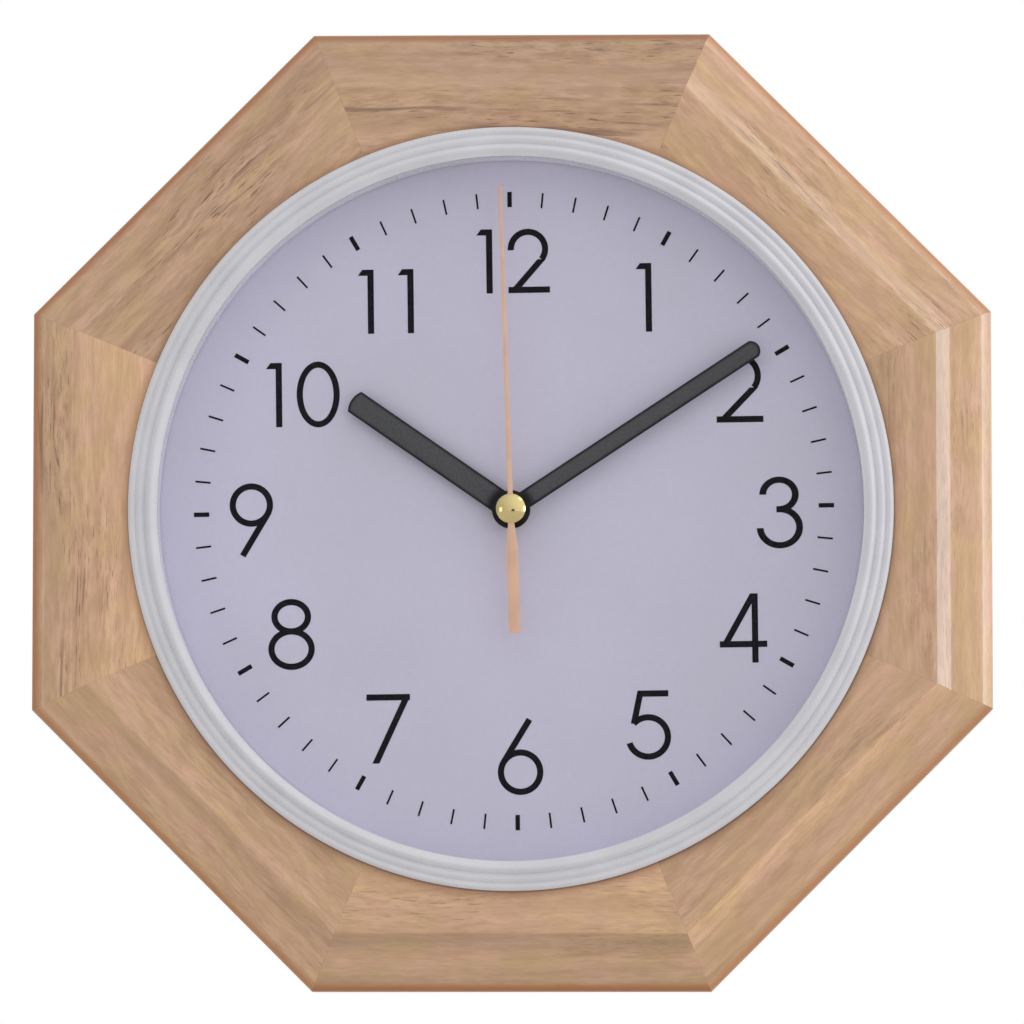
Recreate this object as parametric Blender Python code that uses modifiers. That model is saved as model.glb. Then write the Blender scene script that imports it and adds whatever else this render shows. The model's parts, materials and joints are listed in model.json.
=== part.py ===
"""Schoolhouse wall clock: an eight-sided wooden frame round a glazed dial, with a radio-set quartz movement.

Metres, +Z up. The clock faces -Y and its back lies on the wall plane y = 0. The origin is the point on the
wall where a screw carries the keyhole hanger. Shapes are drawn in the face frame, which has its origin on the
hand axis at the wall: x to the viewer's right, y up the dial, z out of the wall towards the viewer.
"""

import math

import bmesh
import bpy
from mathutils import Matrix

# Clearances
SEAT_GAP = 0.0003  # between pieces that rest on each other
GLUE_GAP = 0.0001  # in a glued or pressed joint
RUN_GAP = 0.00008  # round a turning or sliding shaft

# Sides of the round shapes
RING_SIDES = 64
MIDDLE_SIDES = 20
SMALL_SIDES = 12
PIN_SIDES = 8

# Battery, size AA
BATTERY_RADIUS = 0.00715
BATTERY_LENGTH = 0.0505
BATTERY_NUB_RADIUS = 0.0027
BATTERY_NUB_HEIGHT = 0.0013
BATTERY_EDGE_ROUND = 0.0006
BATTERY_BACK = 0.0008  # from the wall to the battery

# Gear train
MODULE = 0.0005
ADDENDUM = 0.70 * MODULE
DEDENDUM = 1.05 * MODULE
TIP_SHARE = 0.11  # half width of a tooth at its tip, of the tooth pitch
ROOT_SHARE = 0.25  # half width of a tooth at its root, of the tooth pitch
PINION_TEETH = 6
ROTOR_WHEEL_TEETH = 30
TRAIN_WHEEL_TEETH = 36
MINUTE_PINION_TEETH = 10
MOTION_WHEEL_TEETH = 30
MOTION_PINION_TEETH = 8
HOUR_WHEEL_TEETH = 32
WHEEL_THICKNESS = 0.0010
PINION_EXTRA = 0.0006  # how much thicker a pinion is than the wheel it meets
LAYER_GAP = 0.0010  # between the wheels of neighbouring layers
FIRST_LAYER = 0.0013  # from the chamber floor to the middle of the hour wheel
ARBOR_RADIUS = 0.0005
PIVOT_DEPTH = 0.0007  # how far an arbor runs into its plate
SECOND_ARBOR_RADIUS = 0.0006
MINUTE_TUBE_WALL = 0.00075
HOUR_TUBE_WALL = 0.00085
STUD_RADIUS = 0.0007
MAGNET_RADIUS = 0.0026
MAGNET_LENGTH = 0.0024
MOTOR_COVER_GAP = 0.0005  # behind the magnets and coils

# Stepping motors
STATOR_THICKNESS = 0.0008
STATOR_HALF_LENGTH = 0.0090
STATOR_HALF_HEIGHT = 0.0039
STATOR_LEG_WIDTH = 0.0030
STATOR_AIR_GAP = 0.0005
COIL_LEVEL = -0.0148  # y of both coil axes
COIL_RADIUS = 0.0018
BOBBIN_RADIUS = 0.0021
BOBBIN_FLANGE = 0.0006
BOBBIN_END_GAP = 0.0008  # between a bobbin and the stator leg beside it
CORE_WIDTH = 0.0024
CORE_THICKNESS = 0.0008
POST_RADIUS = 0.0010

# Movement case
COVER_BACK = 0.0012  # from the wall to the cover
COVER_WALL = 0.0012
COVER_RIM_WALL = 0.0010
COVER_RIM_HEIGHT = 0.0012
HOUSING_WALL = 0.0012
CHAMBER_SIDE_ROOM = 0.0007  # beside the widest motor
CHAMBER_BOTTOM = -0.0194  # y of the chamber's lower wall
CONTACT_ROOM = 0.0024  # at each end of the battery
BATTERY_ROOM = 0.0008  # above and below the battery
BUSH_WALL = 0.00125

# Circuit
BOARD_HALF_WIDTH = 0.0336
BOARD_BOTTOM = 0.0128
BOARD_TOP = 0.0305
BOARD_THICKNESS = 0.0010
SWITCH_SIDE = 0.0042
SWITCH_HEIGHT = 0.0009
CHIP_SIZE = (0.0070, 0.0050, 0.0012)
CHIP_PLACE = (-0.0180, 0.0170)
CRYSTAL_RADIUS = 0.0010
CRYSTAL_LENGTH = 0.0062
CRYSTAL_PLACE = (0.0160, 0.0175)
BUTTON_RADIUS = 0.0019
BUTTON_FLANGE_RADIUS = 0.0026
BUTTON_FLANGE = 0.0005
BUTTON_PROUD = 0.0008  # how far a button stands behind the cover
BUTTON_TRAVEL = 0.0006
BUTTON_LEVEL = 0.0262
BUTTON_INSET = 0.0046  # from the board's end to the first button
BUTTON_PITCH = 0.0070
BUTTON_NAMES = ("set_button", "receive_button", "reset_button")
FERRITE_RADIUS = 0.0032
FERRITE_LENGTH = 0.0520
ANTENNA_COIL_RADIUS = 0.0042
ANTENNA_COIL_LENGTH = 0.0260
ANTENNA_LEVEL = 0.0258
CRADLE_WIDTH = 0.0030
CONTACT_THICKNESS = 0.0004
CONTACT_WIDTH = 0.0080
CONTACT_FOOT = 0.0020  # flat feet at both ends of a contact leaf

# Dial stack, from the movement forwards
GASKET_RADIUS = 0.0090
GASKET_THICKNESS = 0.0008
PLATE_THICKNESS = 0.0025
DIAL_THICKNESS = 0.0006
WASHER_RADIUS = 0.0055
WASHER_THICKNESS = 0.0004
NUT_FLAT = 0.0100
NUT_THICKNESS = 0.0016
BUSH_PROUD = 0.0004  # past the nut

# Hands
HAND_THICKNESS = 0.0005
HAND_STEP = 0.0015  # clear height between two hands
HAND_COLLAR_PROUD = 0.0004
HAND_COLLAR_WALL = 0.0010
HAND_END_ROUND = 0.0014
HOUR_HAND_LENGTH = 0.0606
HOUR_HAND_WIDTH = 0.0075
HOUR_BOSS_RADIUS = 0.0060
MINUTE_HAND_LENGTH = 0.0926
MINUTE_HAND_WIDTH = 0.0057
MINUTE_BOSS_RADIUS = 0.0059
SECOND_HAND_LENGTH = 0.1015
SECOND_TIP_WIDTH = 0.0010
SECOND_HUB_WIDTH = 0.0016
SECOND_TAIL_LENGTH = 0.0388
SECOND_TAIL_WIDTH = 0.0036
SECOND_TAIL_FLARE = 0.0125  # from the axis to the tail's full width
SECOND_BOSS_RADIUS = 0.0030
CAP_RADIUS = 0.0046
CAP_HEIGHT = 0.0019
MINUTE_ANGLE = math.radians(56.6)  # clockwise from twelve
HOUR_ANGLE = math.radians(300) + MINUTE_ANGLE / 12
SECOND_ANGLE = math.radians(358.06)

# Glazing and bezel
GLASS_CLEAR = 0.0014  # from the cap to the glass
GLASS_THICKNESS = 0.0020
LIP_THICKNESS = 0.0004
GLASS_SEAT = 0.0021  # how far the lip covers the glass
SPACER_WALL = 0.0020
SKIRT_WALL = 0.0015
FLANGE_WIDTH = 0.0050  # how far the bezel covers the wood
BEAD_EDGES = (0.0, 0.51, 0.86, 1.0)  # where the three beads end, of the ring's width from its inner edge
BEAD_RISE = (0.0020, 0.0010, 0.0005)
BEAD_LEAN = (2.0, 1.3, 1.0)  # above 1, a bead's crest lies nearer its outer end
BEAD_FALL = 0.0016  # from the inner edge to the outer one
BEAD_STEPS = 4

# Wooden frame
OPENING_RADIUS = 0.1140
RAIL_WIDTH = 0.0360  # from the opening to an outer flat
RABBET_WIDTH = 0.0120
FRAME_LIP = 0.0092  # wood in front of the back plate
EDGE_ROUND = 0.0030
EDGE_STEPS = 4
BAND_WIDTH = 0.0120  # rounded edge and sloping band together
BAND_RISE = 0.0029
BEVEL_WIDTH = 0.0050
BEVEL_RISE = 0.0042
FACE_FALL = 0.0004  # of the flat face, from its ridge to the middle of the opening's edge
PLATE_EDGE_GAP = 0.0005

# Back-plate screws
SCREW_RADIUS = 0.0014
SCREW_HEAD_RADIUS = 0.0032
SCREW_HEAD_HEIGHT = 0.0018
SCREW_POINT = 0.0016
SCREW_COVER = 0.0020  # wood left in front of a screw's point

# Hanger
HANGER_LENGTH = 0.0460
HANGER_THICKNESS = 0.0012
HANGER_MARGIN = 0.0030  # wood above and below the plate
HANGER_CORNER = 0.0030
HANG_EDGE = 0.0048  # from the plate's upper edge to the hanging point
KEYHOLE_DROP = 0.0070  # from the hanging point to the middle of the entry hole
KEYHOLE_RADIUS = 0.0046
KEYHOLE_SLOT = 0.0048
POCKET_ROOM = 0.0015  # round the keyhole, inside the wood
POCKET_DEPTH = 0.0070
HANGER_SCREW_SPACING = 0.0350
HANGER_SCREW_RADIUS = 0.0013
HANGER_HEAD_RADIUS = 0.0028
HANGER_SCREW_LENGTH = 0.0100

# Heights above the wall, worked out from the stack
LAYER_PITCH = WHEEL_THICKNESS + LAYER_GAP
PINION_THICKNESS = WHEEL_THICKNESS + PINION_EXTRA
COVER_INNER = COVER_BACK + COVER_WALL
COIL_OFFSET = STATOR_THICKNESS / 2 + GLUE_GAP + CORE_THICKNESS / 2  # from a stator's middle to its coil
MOTOR_BACK = max(MAGNET_LENGTH / 2, BOBBIN_RADIUS - COIL_OFFSET)
TRAIN_DEPTH = FIRST_LAYER + 5 * LAYER_PITCH + MOTOR_BACK + MOTOR_COVER_GAP
BATTERY_FRONT = BATTERY_BACK + 2 * BATTERY_RADIUS
CHAMBER_FLOOR = max(COVER_INNER + TRAIN_DEPTH, BATTERY_FRONT + SEAT_GAP)
MOVEMENT_FRONT = CHAMBER_FLOOR + HOUSING_WALL
PLATE_BACK = MOVEMENT_FRONT + GASKET_THICKNESS + 2 * GLUE_GAP
PLATE_FRONT = PLATE_BACK + PLATE_THICKNESS
DIAL_BACK = PLATE_FRONT + GLUE_GAP
DIAL_FRONT = DIAL_BACK + DIAL_THICKNESS
WASHER_BACK = DIAL_FRONT + GLUE_GAP
NUT_BACK = WASHER_BACK + WASHER_THICKNESS + GLUE_GAP
NUT_FRONT = NUT_BACK + NUT_THICKNESS
BUSH_FRONT = NUT_FRONT + BUSH_PROUD
HOUR_HAND_BACK = BUSH_FRONT + HAND_COLLAR_PROUD + SEAT_GAP
MINUTE_HAND_BACK = HOUR_HAND_BACK + HAND_THICKNESS + HAND_STEP
SECOND_HAND_BACK = MINUTE_HAND_BACK + HAND_THICKNESS + HAND_STEP
CAP_BACK = SECOND_HAND_BACK + HAND_THICKNESS + GLUE_GAP
GLASS_BACK = CAP_BACK + CAP_HEIGHT + GLASS_CLEAR
GLASS_FRONT = GLASS_BACK + GLASS_THICKNESS
LIP_BACK = GLASS_FRONT + GLUE_GAP
LIP_FRONT = LIP_BACK + LIP_THICKNESS
RABBET_FLOOR = PLATE_FRONT + SEAT_GAP
FACE_HEIGHT = RABBET_FLOOR + FRAME_LIP
SIDE_HEIGHT = FACE_HEIGHT - BEVEL_RISE - BAND_RISE

# Radii worked out from the opening
APOTHEM = OPENING_RADIUS + RAIL_WIDTH
SKIRT_RADIUS = OPENING_RADIUS - SEAT_GAP
SKIRT_BORE = SKIRT_RADIUS - SKIRT_WALL
GLASS_RADIUS = SKIRT_BORE - SEAT_GAP
LIP_RADIUS = GLASS_RADIUS - GLASS_SEAT
BEZEL_RADIUS = OPENING_RADIUS + FLANGE_WIDTH
DIAL_RADIUS = OPENING_RADIUS - 2 * SEAT_GAP
RABBET_RADIUS = OPENING_RADIUS + RABBET_WIDTH
SCREW_CIRCLE = OPENING_RADIUS + RABBET_WIDTH / 2

# Coaxial tubes, each round the one inside it
MINUTE_BORE = SECOND_ARBOR_RADIUS + RUN_GAP
MINUTE_TUBE_RADIUS = MINUTE_BORE + MINUTE_TUBE_WALL
HOUR_BORE = MINUTE_TUBE_RADIUS + RUN_GAP
HOUR_TUBE_RADIUS = HOUR_BORE + HOUR_TUBE_WALL
BUSH_BORE = HOUR_TUBE_RADIUS + RUN_GAP
BUSH_RADIUS = BUSH_BORE + BUSH_WALL

# Hanging point above the hand axis
HANG_DROP = APOTHEM - HANGER_MARGIN - HANG_EDGE


# Gear centres in the face frame
def gear_distance(teeth_a, teeth_b):
    return MODULE * (teeth_a + teeth_b) / 2


def stepped(start, distance, degrees):
    """The point at a distance and direction from another."""
    angle = math.radians(degrees)
    return (start[0] + distance * math.cos(angle), start[1] + distance * math.sin(angle))


HAND_AXIS = (0.0, 0.0)
TRAIN_DISTANCE = gear_distance(PINION_TEETH, TRAIN_WHEEL_TEETH)
ROTOR_DISTANCE = gear_distance(PINION_TEETH, ROTOR_WHEEL_TEETH)
MOTION_DISTANCE = gear_distance(MINUTE_PINION_TEETH, MOTION_WHEEL_TEETH)
SECONDS_MIDDLE = stepped(HAND_AXIS, TRAIN_DISTANCE, 175)
SECONDS_ROTOR = stepped(SECONDS_MIDDLE, ROTOR_DISTANCE, 215)
MINUTES_INNER = stepped(HAND_AXIS, TRAIN_DISTANCE, 20)
MINUTES_OUTER = stepped(MINUTES_INNER, TRAIN_DISTANCE, -25)
MINUTES_ROTOR = stepped(MINUTES_OUTER, ROTOR_DISTANCE, 60)
MOTION_AXIS = stepped(HAND_AXIS, MOTION_DISTANCE, -90)

# Movement case outline
CHAMBER_HALF = max(
    MINUTES_ROTOR[0] + STATOR_HALF_LENGTH + CHAMBER_SIDE_ROOM,
    BOARD_HALF_WIDTH + CHAMBER_SIDE_ROOM,
)
CHAMBER_TOP = max(ANTENNA_LEVEL + ANTENNA_COIL_RADIUS, BOARD_TOP) + CHAMBER_SIDE_ROOM
BAY_HALF = BATTERY_LENGTH / 2 + CONTACT_ROOM
BAY_TOP = CHAMBER_BOTTOM - HOUSING_WALL
BAY_RIDGE = BAY_TOP + HOUSING_WALL / 2  # upper edge of the bay's wall, where the cover starts
BATTERY_LEVEL = BAY_TOP - BATTERY_ROOM - BATTERY_RADIUS
BAY_BOTTOM = BATTERY_LEVEL - BATTERY_RADIUS - BATTERY_ROOM
BOARD_BACK = COVER_INNER + GLUE_GAP + BUTTON_FLANGE + BUTTON_TRAVEL + GLUE_GAP + SWITCH_HEIGHT
BOARD_FRONT = BOARD_BACK + BOARD_THICKNESS
ANTENNA_HEIGHT = CHAMBER_FLOOR - SEAT_GAP - ANTENNA_COIL_RADIUS
BUTTON_PLACES = {
    name: BUTTON_INSET + index * BUTTON_PITCH - BOARD_HALF_WIDTH for index, name in enumerate(BUTTON_NAMES)
}

# Colour, roughness and metallic value of each finish
FINISHES = {
    "pale_wood": ((0.56, 0.36, 0.20), 0.45, 0.0),
    "white_plastic": ((0.72, 0.73, 0.75), 0.35, 0.0),
    "clear_glass": ((0.92, 0.95, 0.95), 0.03, 0.0),
    "dial_white": ((0.55, 0.54, 0.62), 0.55, 0.0),
    "hardboard": ((0.20, 0.12, 0.07), 0.80, 0.0),
    "hand_black": ((0.030, 0.030, 0.034), 0.45, 0.2),
    "hand_gold": ((0.72, 0.47, 0.28), 0.40, 0.6),
    "brass": ((0.75, 0.56, 0.22), 0.22, 1.0),
    "steel": ((0.56, 0.56, 0.55), 0.35, 1.0),
    "zinc": ((0.62, 0.60, 0.52), 0.42, 1.0),
    "black_plastic": ((0.025, 0.025, 0.027), 0.50, 0.0),
    "grey_plastic": ((0.30, 0.31, 0.32), 0.45, 0.0),
    "gear_white": ((0.70, 0.70, 0.66), 0.40, 0.0),
    "rubber": ((0.020, 0.020, 0.020), 0.85, 0.0),
    "board_green": ((0.04, 0.16, 0.07), 0.50, 0.0),
    "copper_wire": ((0.60, 0.25, 0.12), 0.35, 0.9),
    "ferrite": ((0.06, 0.06, 0.065), 0.60, 0.1),
    "magnet": ((0.22, 0.22, 0.23), 0.40, 0.8),
    "battery_wrap": ((0.10, 0.14, 0.22), 0.35, 0.2),
}


def cleared_scene():
    """Remove the scene's objects, and return collections for the parts and the cutters and the face frame."""
    for obj in list(bpy.data.objects):
        bpy.data.objects.remove(obj)
    parts = bpy.data.collections.new("schoolhouse_wall_clock")
    helpers = bpy.data.collections.new("cutters")
    for collection in (parts, helpers):
        bpy.context.scene.collection.children.link(collection)
    face = bpy.data.objects.new("face_frame", None)
    face.location = (0, 0, -HANG_DROP)
    face.rotation_euler = (math.radians(90), 0, 0)
    parts.objects.link(face)
    return parts, helpers, face


PARTS, CUTTERS, FACE = cleared_scene()


def tidied(mesh):
    """Weld a mesh's seams and turn its faces outwards."""
    form = bmesh.new()
    form.from_mesh(mesh)
    bmesh.ops.remove_doubles(form, verts=form.verts, dist=0.000001)
    bmesh.ops.recalc_face_normals(form, faces=form.faces)
    form.to_mesh(mesh)
    form.free()
    return mesh


def baked(obj):
    """The evaluated mesh of a helper object, which is then removed."""
    bpy.context.view_layer.update()
    graph = bpy.context.evaluated_depsgraph_get()
    mesh = bpy.data.meshes.new_from_object(obj.evaluated_get(graph))
    bpy.data.objects.remove(obj)
    return tidied(mesh)


def disc(radius, low, high, sides=SMALL_SIDES, at=(0, 0), far_radius=None):
    """A cylinder along z from low to high, or a cone where its far end has another radius."""
    form = bmesh.new()
    bmesh.ops.create_cone(
        form,
        cap_ends=True,
        segments=sides,
        radius1=radius,
        radius2=radius if far_radius is None else far_radius,
        depth=high - low,
        matrix=Matrix.Translation((at[0], at[1], (low + high) / 2)),
    )
    mesh = bpy.data.meshes.new("disc")
    form.to_mesh(mesh)
    form.free()
    return mesh


def lying(mesh, at):
    """Turn a mesh's z axis to +x and carry it to a place."""
    mesh.transform(Matrix.Translation(at) @ Matrix.Rotation(math.radians(90), 4, "Y"))
    return mesh


def block(x, y, z):
    """A box between the pairs of limits along each axis."""
    sides = [limits[1] - limits[0] for limits in (x, y, z)]
    middle = [(limits[0] + limits[1]) / 2 for limits in (x, y, z)]
    form = bmesh.new()
    bmesh.ops.create_cube(form, size=1, matrix=Matrix.Translation(middle) @ Matrix.Diagonal((*sides, 1)))
    mesh = bpy.data.meshes.new("block")
    form.to_mesh(mesh)
    form.free()
    return mesh


def plate(outlines, low, high):
    """Closed outlines filled and thickened from low to high. An outline inside another is a hole."""
    curve = bpy.data.curves.new("plate", "CURVE")
    curve.dimensions = "2D"
    curve.fill_mode = "BOTH"
    curve.extrude = (high - low) / 2
    for points in outlines:
        spline = curve.splines.new("POLY")
        spline.points.add(len(points) - 1)
        for point, (x, y) in zip(spline.points, points):
            point.co = (x, y, 0, 1)
        spline.use_cyclic_u = True
    helper = bpy.data.objects.new("plate", curve)
    CUTTERS.objects.link(helper)
    mesh = baked(helper)
    mesh.transform(Matrix.Translation((0, 0, (low + high) / 2)))
    return mesh


def turned(profile, sides=RING_SIDES, ring=False):
    """Turn (radius, height) points about z, from the top of the outer side. A ring's ends are joined."""
    count = len(profile)
    edges = [(index, index + 1) for index in range(count - 1)]
    if ring:
        edges.append((count - 1, 0))
    mesh = bpy.data.meshes.new("profile")
    mesh.from_pydata([(radius, 0, height) for radius, height in profile], edges, [])
    helper = bpy.data.objects.new("profile", mesh)
    CUTTERS.objects.link(helper)
    screw = helper.modifiers.new("Turn", "SCREW")
    screw.steps = sides
    screw.render_steps = sides
    screw.use_merge_vertices = True
    screw.merge_threshold = 0.00001
    return baked(helper)


def together(meshes):
    """One mesh that holds several shapes that stand clear of each other."""
    form = bmesh.new()
    for mesh in meshes:
        form.from_mesh(mesh)
    whole = bpy.data.meshes.new("group")
    form.to_mesh(whole)
    form.free()
    return whole


def arc(centre, radius, start, end, steps):
    """Points along an arc, its angles in degrees counter-clockwise from +x."""
    points = []
    for step in range(steps + 1):
        angle = math.radians(start + (end - start) * step / steps)
        points.append((centre[0] + radius * math.cos(angle), centre[1] + radius * math.sin(angle)))
    return points


def bore(radius, gap, sides=SMALL_SIDES):
    """Radius of a many-sided hole whose flats clear a shaft of this radius by the gap."""
    return (radius + gap) / math.cos(math.pi / sides)


def finish(name, kind):
    """A piece's own material."""
    colour, roughness, metallic = FINISHES[kind]
    material = bpy.data.materials.new(name)
    material.use_nodes = True
    shader = material.node_tree.nodes["Principled BSDF"]
    shader.inputs["Base Color"].default_value = (*colour, 1)
    shader.inputs["Roughness"].default_value = roughness
    shader.inputs["Metallic"].default_value = metallic
    if kind == "clear_glass":
        shader.inputs["Transmission Weight"].default_value = 1.0
    return material


def piece(name, mesh, kind, at=(0, 0), turn=0.0, add=(), cut=(), fittings=(), drills=()):
    """One named piece on the face frame, its origin on its own axis.

    Meshes are joined to it and cut from it in order: add, cut, then the fittings in it and the drilled holes.
    """
    obj = bpy.data.objects.new(name, mesh)
    PARTS.objects.link(obj)
    obj.parent = FACE
    obj.location = (at[0], at[1], 0)
    obj.rotation_euler = (0, 0, turn)
    work = [("UNION", mesh) for mesh in add]
    work += [("DIFFERENCE", mesh) for mesh in cut]
    work += [("UNION", mesh) for mesh in fittings]
    work += [("DIFFERENCE", mesh) for mesh in drills]
    for number, (operation, other) in enumerate(work, 1):
        label = f"{name}_{operation.lower()}_{number}"
        helper = bpy.data.objects.new(label, other)
        CUTTERS.objects.link(helper)
        helper.parent = obj
        helper.hide_render = True
        helper.display_type = "WIRE"
        boolean = obj.modifiers.new(label, "BOOLEAN")
        boolean.operation = operation
        boolean.object = helper
    obj.data.materials.append(finish(name, kind))
    obj.data.shade_smooth()
    obj.data.set_sharp_from_angle(angle=math.radians(35))
    return obj


def gear(teeth, phase, low, high):
    """A spur gear with one tooth's middle at the phase angle."""
    pitch_radius = MODULE * teeth / 2
    pitch = 2 * math.pi / teeth
    corners = (
        (pitch_radius - DEDENDUM, -ROOT_SHARE),
        (pitch_radius + ADDENDUM, -TIP_SHARE),
        (pitch_radius + ADDENDUM, TIP_SHARE),
        (pitch_radius - DEDENDUM, ROOT_SHARE),
    )
    points = []
    for tooth in range(teeth):
        for radius, share in corners:
            angle = phase + (tooth + share) * pitch
            points.append((radius * math.cos(angle), radius * math.sin(angle)))
    return plate([points], low, high)


def meshing_phase(place, teeth, phase, other_place, other_teeth):
    """Phase of a gear at other_place that puts its gap over the tooth of the gear at place."""
    line = math.atan2(other_place[1] - place[1], other_place[0] - place[0])
    passed = (line - phase) * teeth / (2 * math.pi)
    return line + math.pi - (0.5 - passed) * 2 * math.pi / other_teeth


def layer(index, thickness):
    """Lower and upper limit of a wheel or pinion in a layer, counted back from the chamber floor."""
    middle = CHAMBER_FLOOR - FIRST_LAYER - index * LAYER_PITCH
    return middle - thickness / 2, middle + thickness / 2


def wheel_layer(index):
    return layer(index, WHEEL_THICKNESS)


def pinion_layer(index):
    return layer(index, PINION_THICKNESS)


def arbor():
    """A plain arbor that turns in the cover at its back end and in the housing at its front end."""
    return disc(ARBOR_RADIUS, COVER_INNER - PIVOT_DEPTH, CHAMBER_FLOOR + PIVOT_DEPTH, PIN_SIDES)


def frame_profile():
    """Section of a rail as (distance from the hand axis, height), from the back round the outer side."""
    inner = OPENING_RADIUS * math.cos(math.radians(22.5)) - RAIL_WIDTH / 4
    ridge = APOTHEM - BAND_WIDTH - BEVEL_WIDTH
    fall = FACE_FALL * (ridge - inner) / (ridge - OPENING_RADIUS)
    edge_middle = (APOTHEM - EDGE_ROUND, SIDE_HEIGHT - EDGE_ROUND)
    points = [(inner, 0), (APOTHEM, 0)]
    points += arc(edge_middle, EDGE_ROUND, 0, 90, EDGE_STEPS)
    points.append((APOTHEM - BAND_WIDTH, SIDE_HEIGHT + BAND_RISE))
    points.append((ridge, FACE_HEIGHT))
    points.append((inner, FACE_HEIGHT - fall))
    return points


def rail_mesh():
    """The upper rail: its section drawn out along x, mitred at both ends and cut by the stepped opening."""
    half_length = APOTHEM * math.tan(math.radians(22.5)) + RAIL_WIDTH
    blank = plate([frame_profile()], -half_length, half_length)
    blank.transform(Matrix(((0, 0, 1, 0), (1, 0, 0, 0), (0, 1, 0, 0), (0, 0, 0, 1))))
    form = bmesh.new()
    form.from_mesh(blank)
    for side in (-1, 1):
        normal = (side * math.cos(math.radians(22.5)), -math.sin(math.radians(22.5)), 0)
        start = [-GLUE_GAP / 2 * part for part in normal]
        everything = form.verts[:] + form.edges[:] + form.faces[:]
        cut = bmesh.ops.bisect_plane(
            form, geom=everything, dist=0.0000001, plane_co=start, plane_no=normal, clear_outer=True
        )
        edges = [part for part in cut["geom_cut"] if isinstance(part, bmesh.types.BMEdge)]
        bmesh.ops.holes_fill(form, edges=edges)
    form.to_mesh(blank)
    form.free()
    tidied(blank)
    opening = turned(
        [
            (0, 2 * FACE_HEIGHT),
            (OPENING_RADIUS, 2 * FACE_HEIGHT),
            (OPENING_RADIUS, RABBET_FLOOR),
            (RABBET_RADIUS, RABBET_FLOOR),
            (RABBET_RADIUS, -FACE_HEIGHT),
            (0, -FACE_HEIGHT),
        ]
    )
    helper = bpy.data.objects.new("rail", blank)
    cutter = bpy.data.objects.new("opening", opening)
    for obj in (helper, cutter):
        CUTTERS.objects.link(obj)
    boolean = helper.modifiers.new("Opening", "BOOLEAN")
    boolean.operation = "DIFFERENCE"
    boolean.object = cutter
    mesh = baked(helper)
    bpy.data.objects.remove(cutter)
    return mesh


def keyhole_outline():
    """Entry hole and slot of the hanger, with the slot's upper end round the hanging point."""
    half_slot = KEYHOLE_SLOT / 2
    meet = math.degrees(math.asin(half_slot / KEYHOLE_RADIUS))
    entry = (0, HANG_DROP - KEYHOLE_DROP)
    points = arc((0, HANG_DROP), half_slot, 0, 180, SMALL_SIDES // 2)
    points += arc(entry, KEYHOLE_RADIUS, 90 + meet, 450 - meet, SMALL_SIDES)
    return points


def rounded_box(low, high, corner):
    """Outline of a rectangle with round corners."""
    points = []
    for start, x, y in (
        (0, high[0] - corner, high[1] - corner),
        (90, low[0] + corner, high[1] - corner),
        (180, low[0] + corner, low[1] + corner),
        (270, high[0] - corner, low[1] + corner),
    ):
        points += arc((x, y), corner, start, start + 90, 3)
    return points


HANGER_LOW = (-HANGER_LENGTH / 2, OPENING_RADIUS + RABBET_WIDTH + HANGER_MARGIN)
HANGER_HIGH = (HANGER_LENGTH / 2, APOTHEM - HANGER_MARGIN)
HANGER_SCREWS = [
    (side * HANGER_SCREW_SPACING / 2, (HANGER_LOW[1] + HANGER_HIGH[1]) / 2) for side in (-1, 1)
]
SCREW_TIP = FACE_HEIGHT - FACE_FALL - SCREW_COVER


def hanger_recess():
    """Shallow seat of the hanger plate in the upper rail, from behind the wall plane."""
    low = [limit - GLUE_GAP for limit in HANGER_LOW]
    high = [limit + GLUE_GAP for limit in HANGER_HIGH]
    corner = HANGER_CORNER + GLUE_GAP
    return plate([rounded_box(low, high, corner)], -HANGER_THICKNESS, HANGER_THICKNESS + GLUE_GAP)


def hanger_pocket():
    """Room behind the keyhole for the head of the wall screw."""
    half = KEYHOLE_RADIUS + POCKET_ROOM
    low = HANG_DROP - KEYHOLE_DROP - half
    high = HANG_DROP + KEYHOLE_SLOT / 2 + POCKET_ROOM
    return block((-half, half), (low, high), (HANGER_THICKNESS / 2, HANGER_THICKNESS + POCKET_DEPTH))


def make_frame():
    """Eight mitred rails of one shape, with the hanger's seat and the screws' pilot holes cut in some."""
    names = ("top", "top_left", "left", "bottom_left", "bottom", "bottom_right", "right", "top_right")
    mesh = rail_mesh()
    pilot = bore(SCREW_RADIUS, GLUE_GAP)
    screw_hole = disc(pilot, 0, SCREW_TIP + SEAT_GAP, SMALL_SIDES, (0, SCREW_CIRCLE))
    hanger_pilot = bore(HANGER_SCREW_RADIUS, GLUE_GAP)
    hanger_holes = together(
        [disc(hanger_pilot, 0, HANGER_SCREW_LENGTH + SEAT_GAP, SMALL_SIDES, at) for at in HANGER_SCREWS]
    )
    for index, name in enumerate(names):
        cuts = []
        if name == "top":
            cuts = [hanger_recess(), hanger_pocket(), hanger_holes]
        if index % 2:
            cuts = [screw_hole]
        piece(f"frame_rail_{name}", mesh.copy(), "pale_wood", turn=math.radians(45 * index), cut=cuts)


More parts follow.
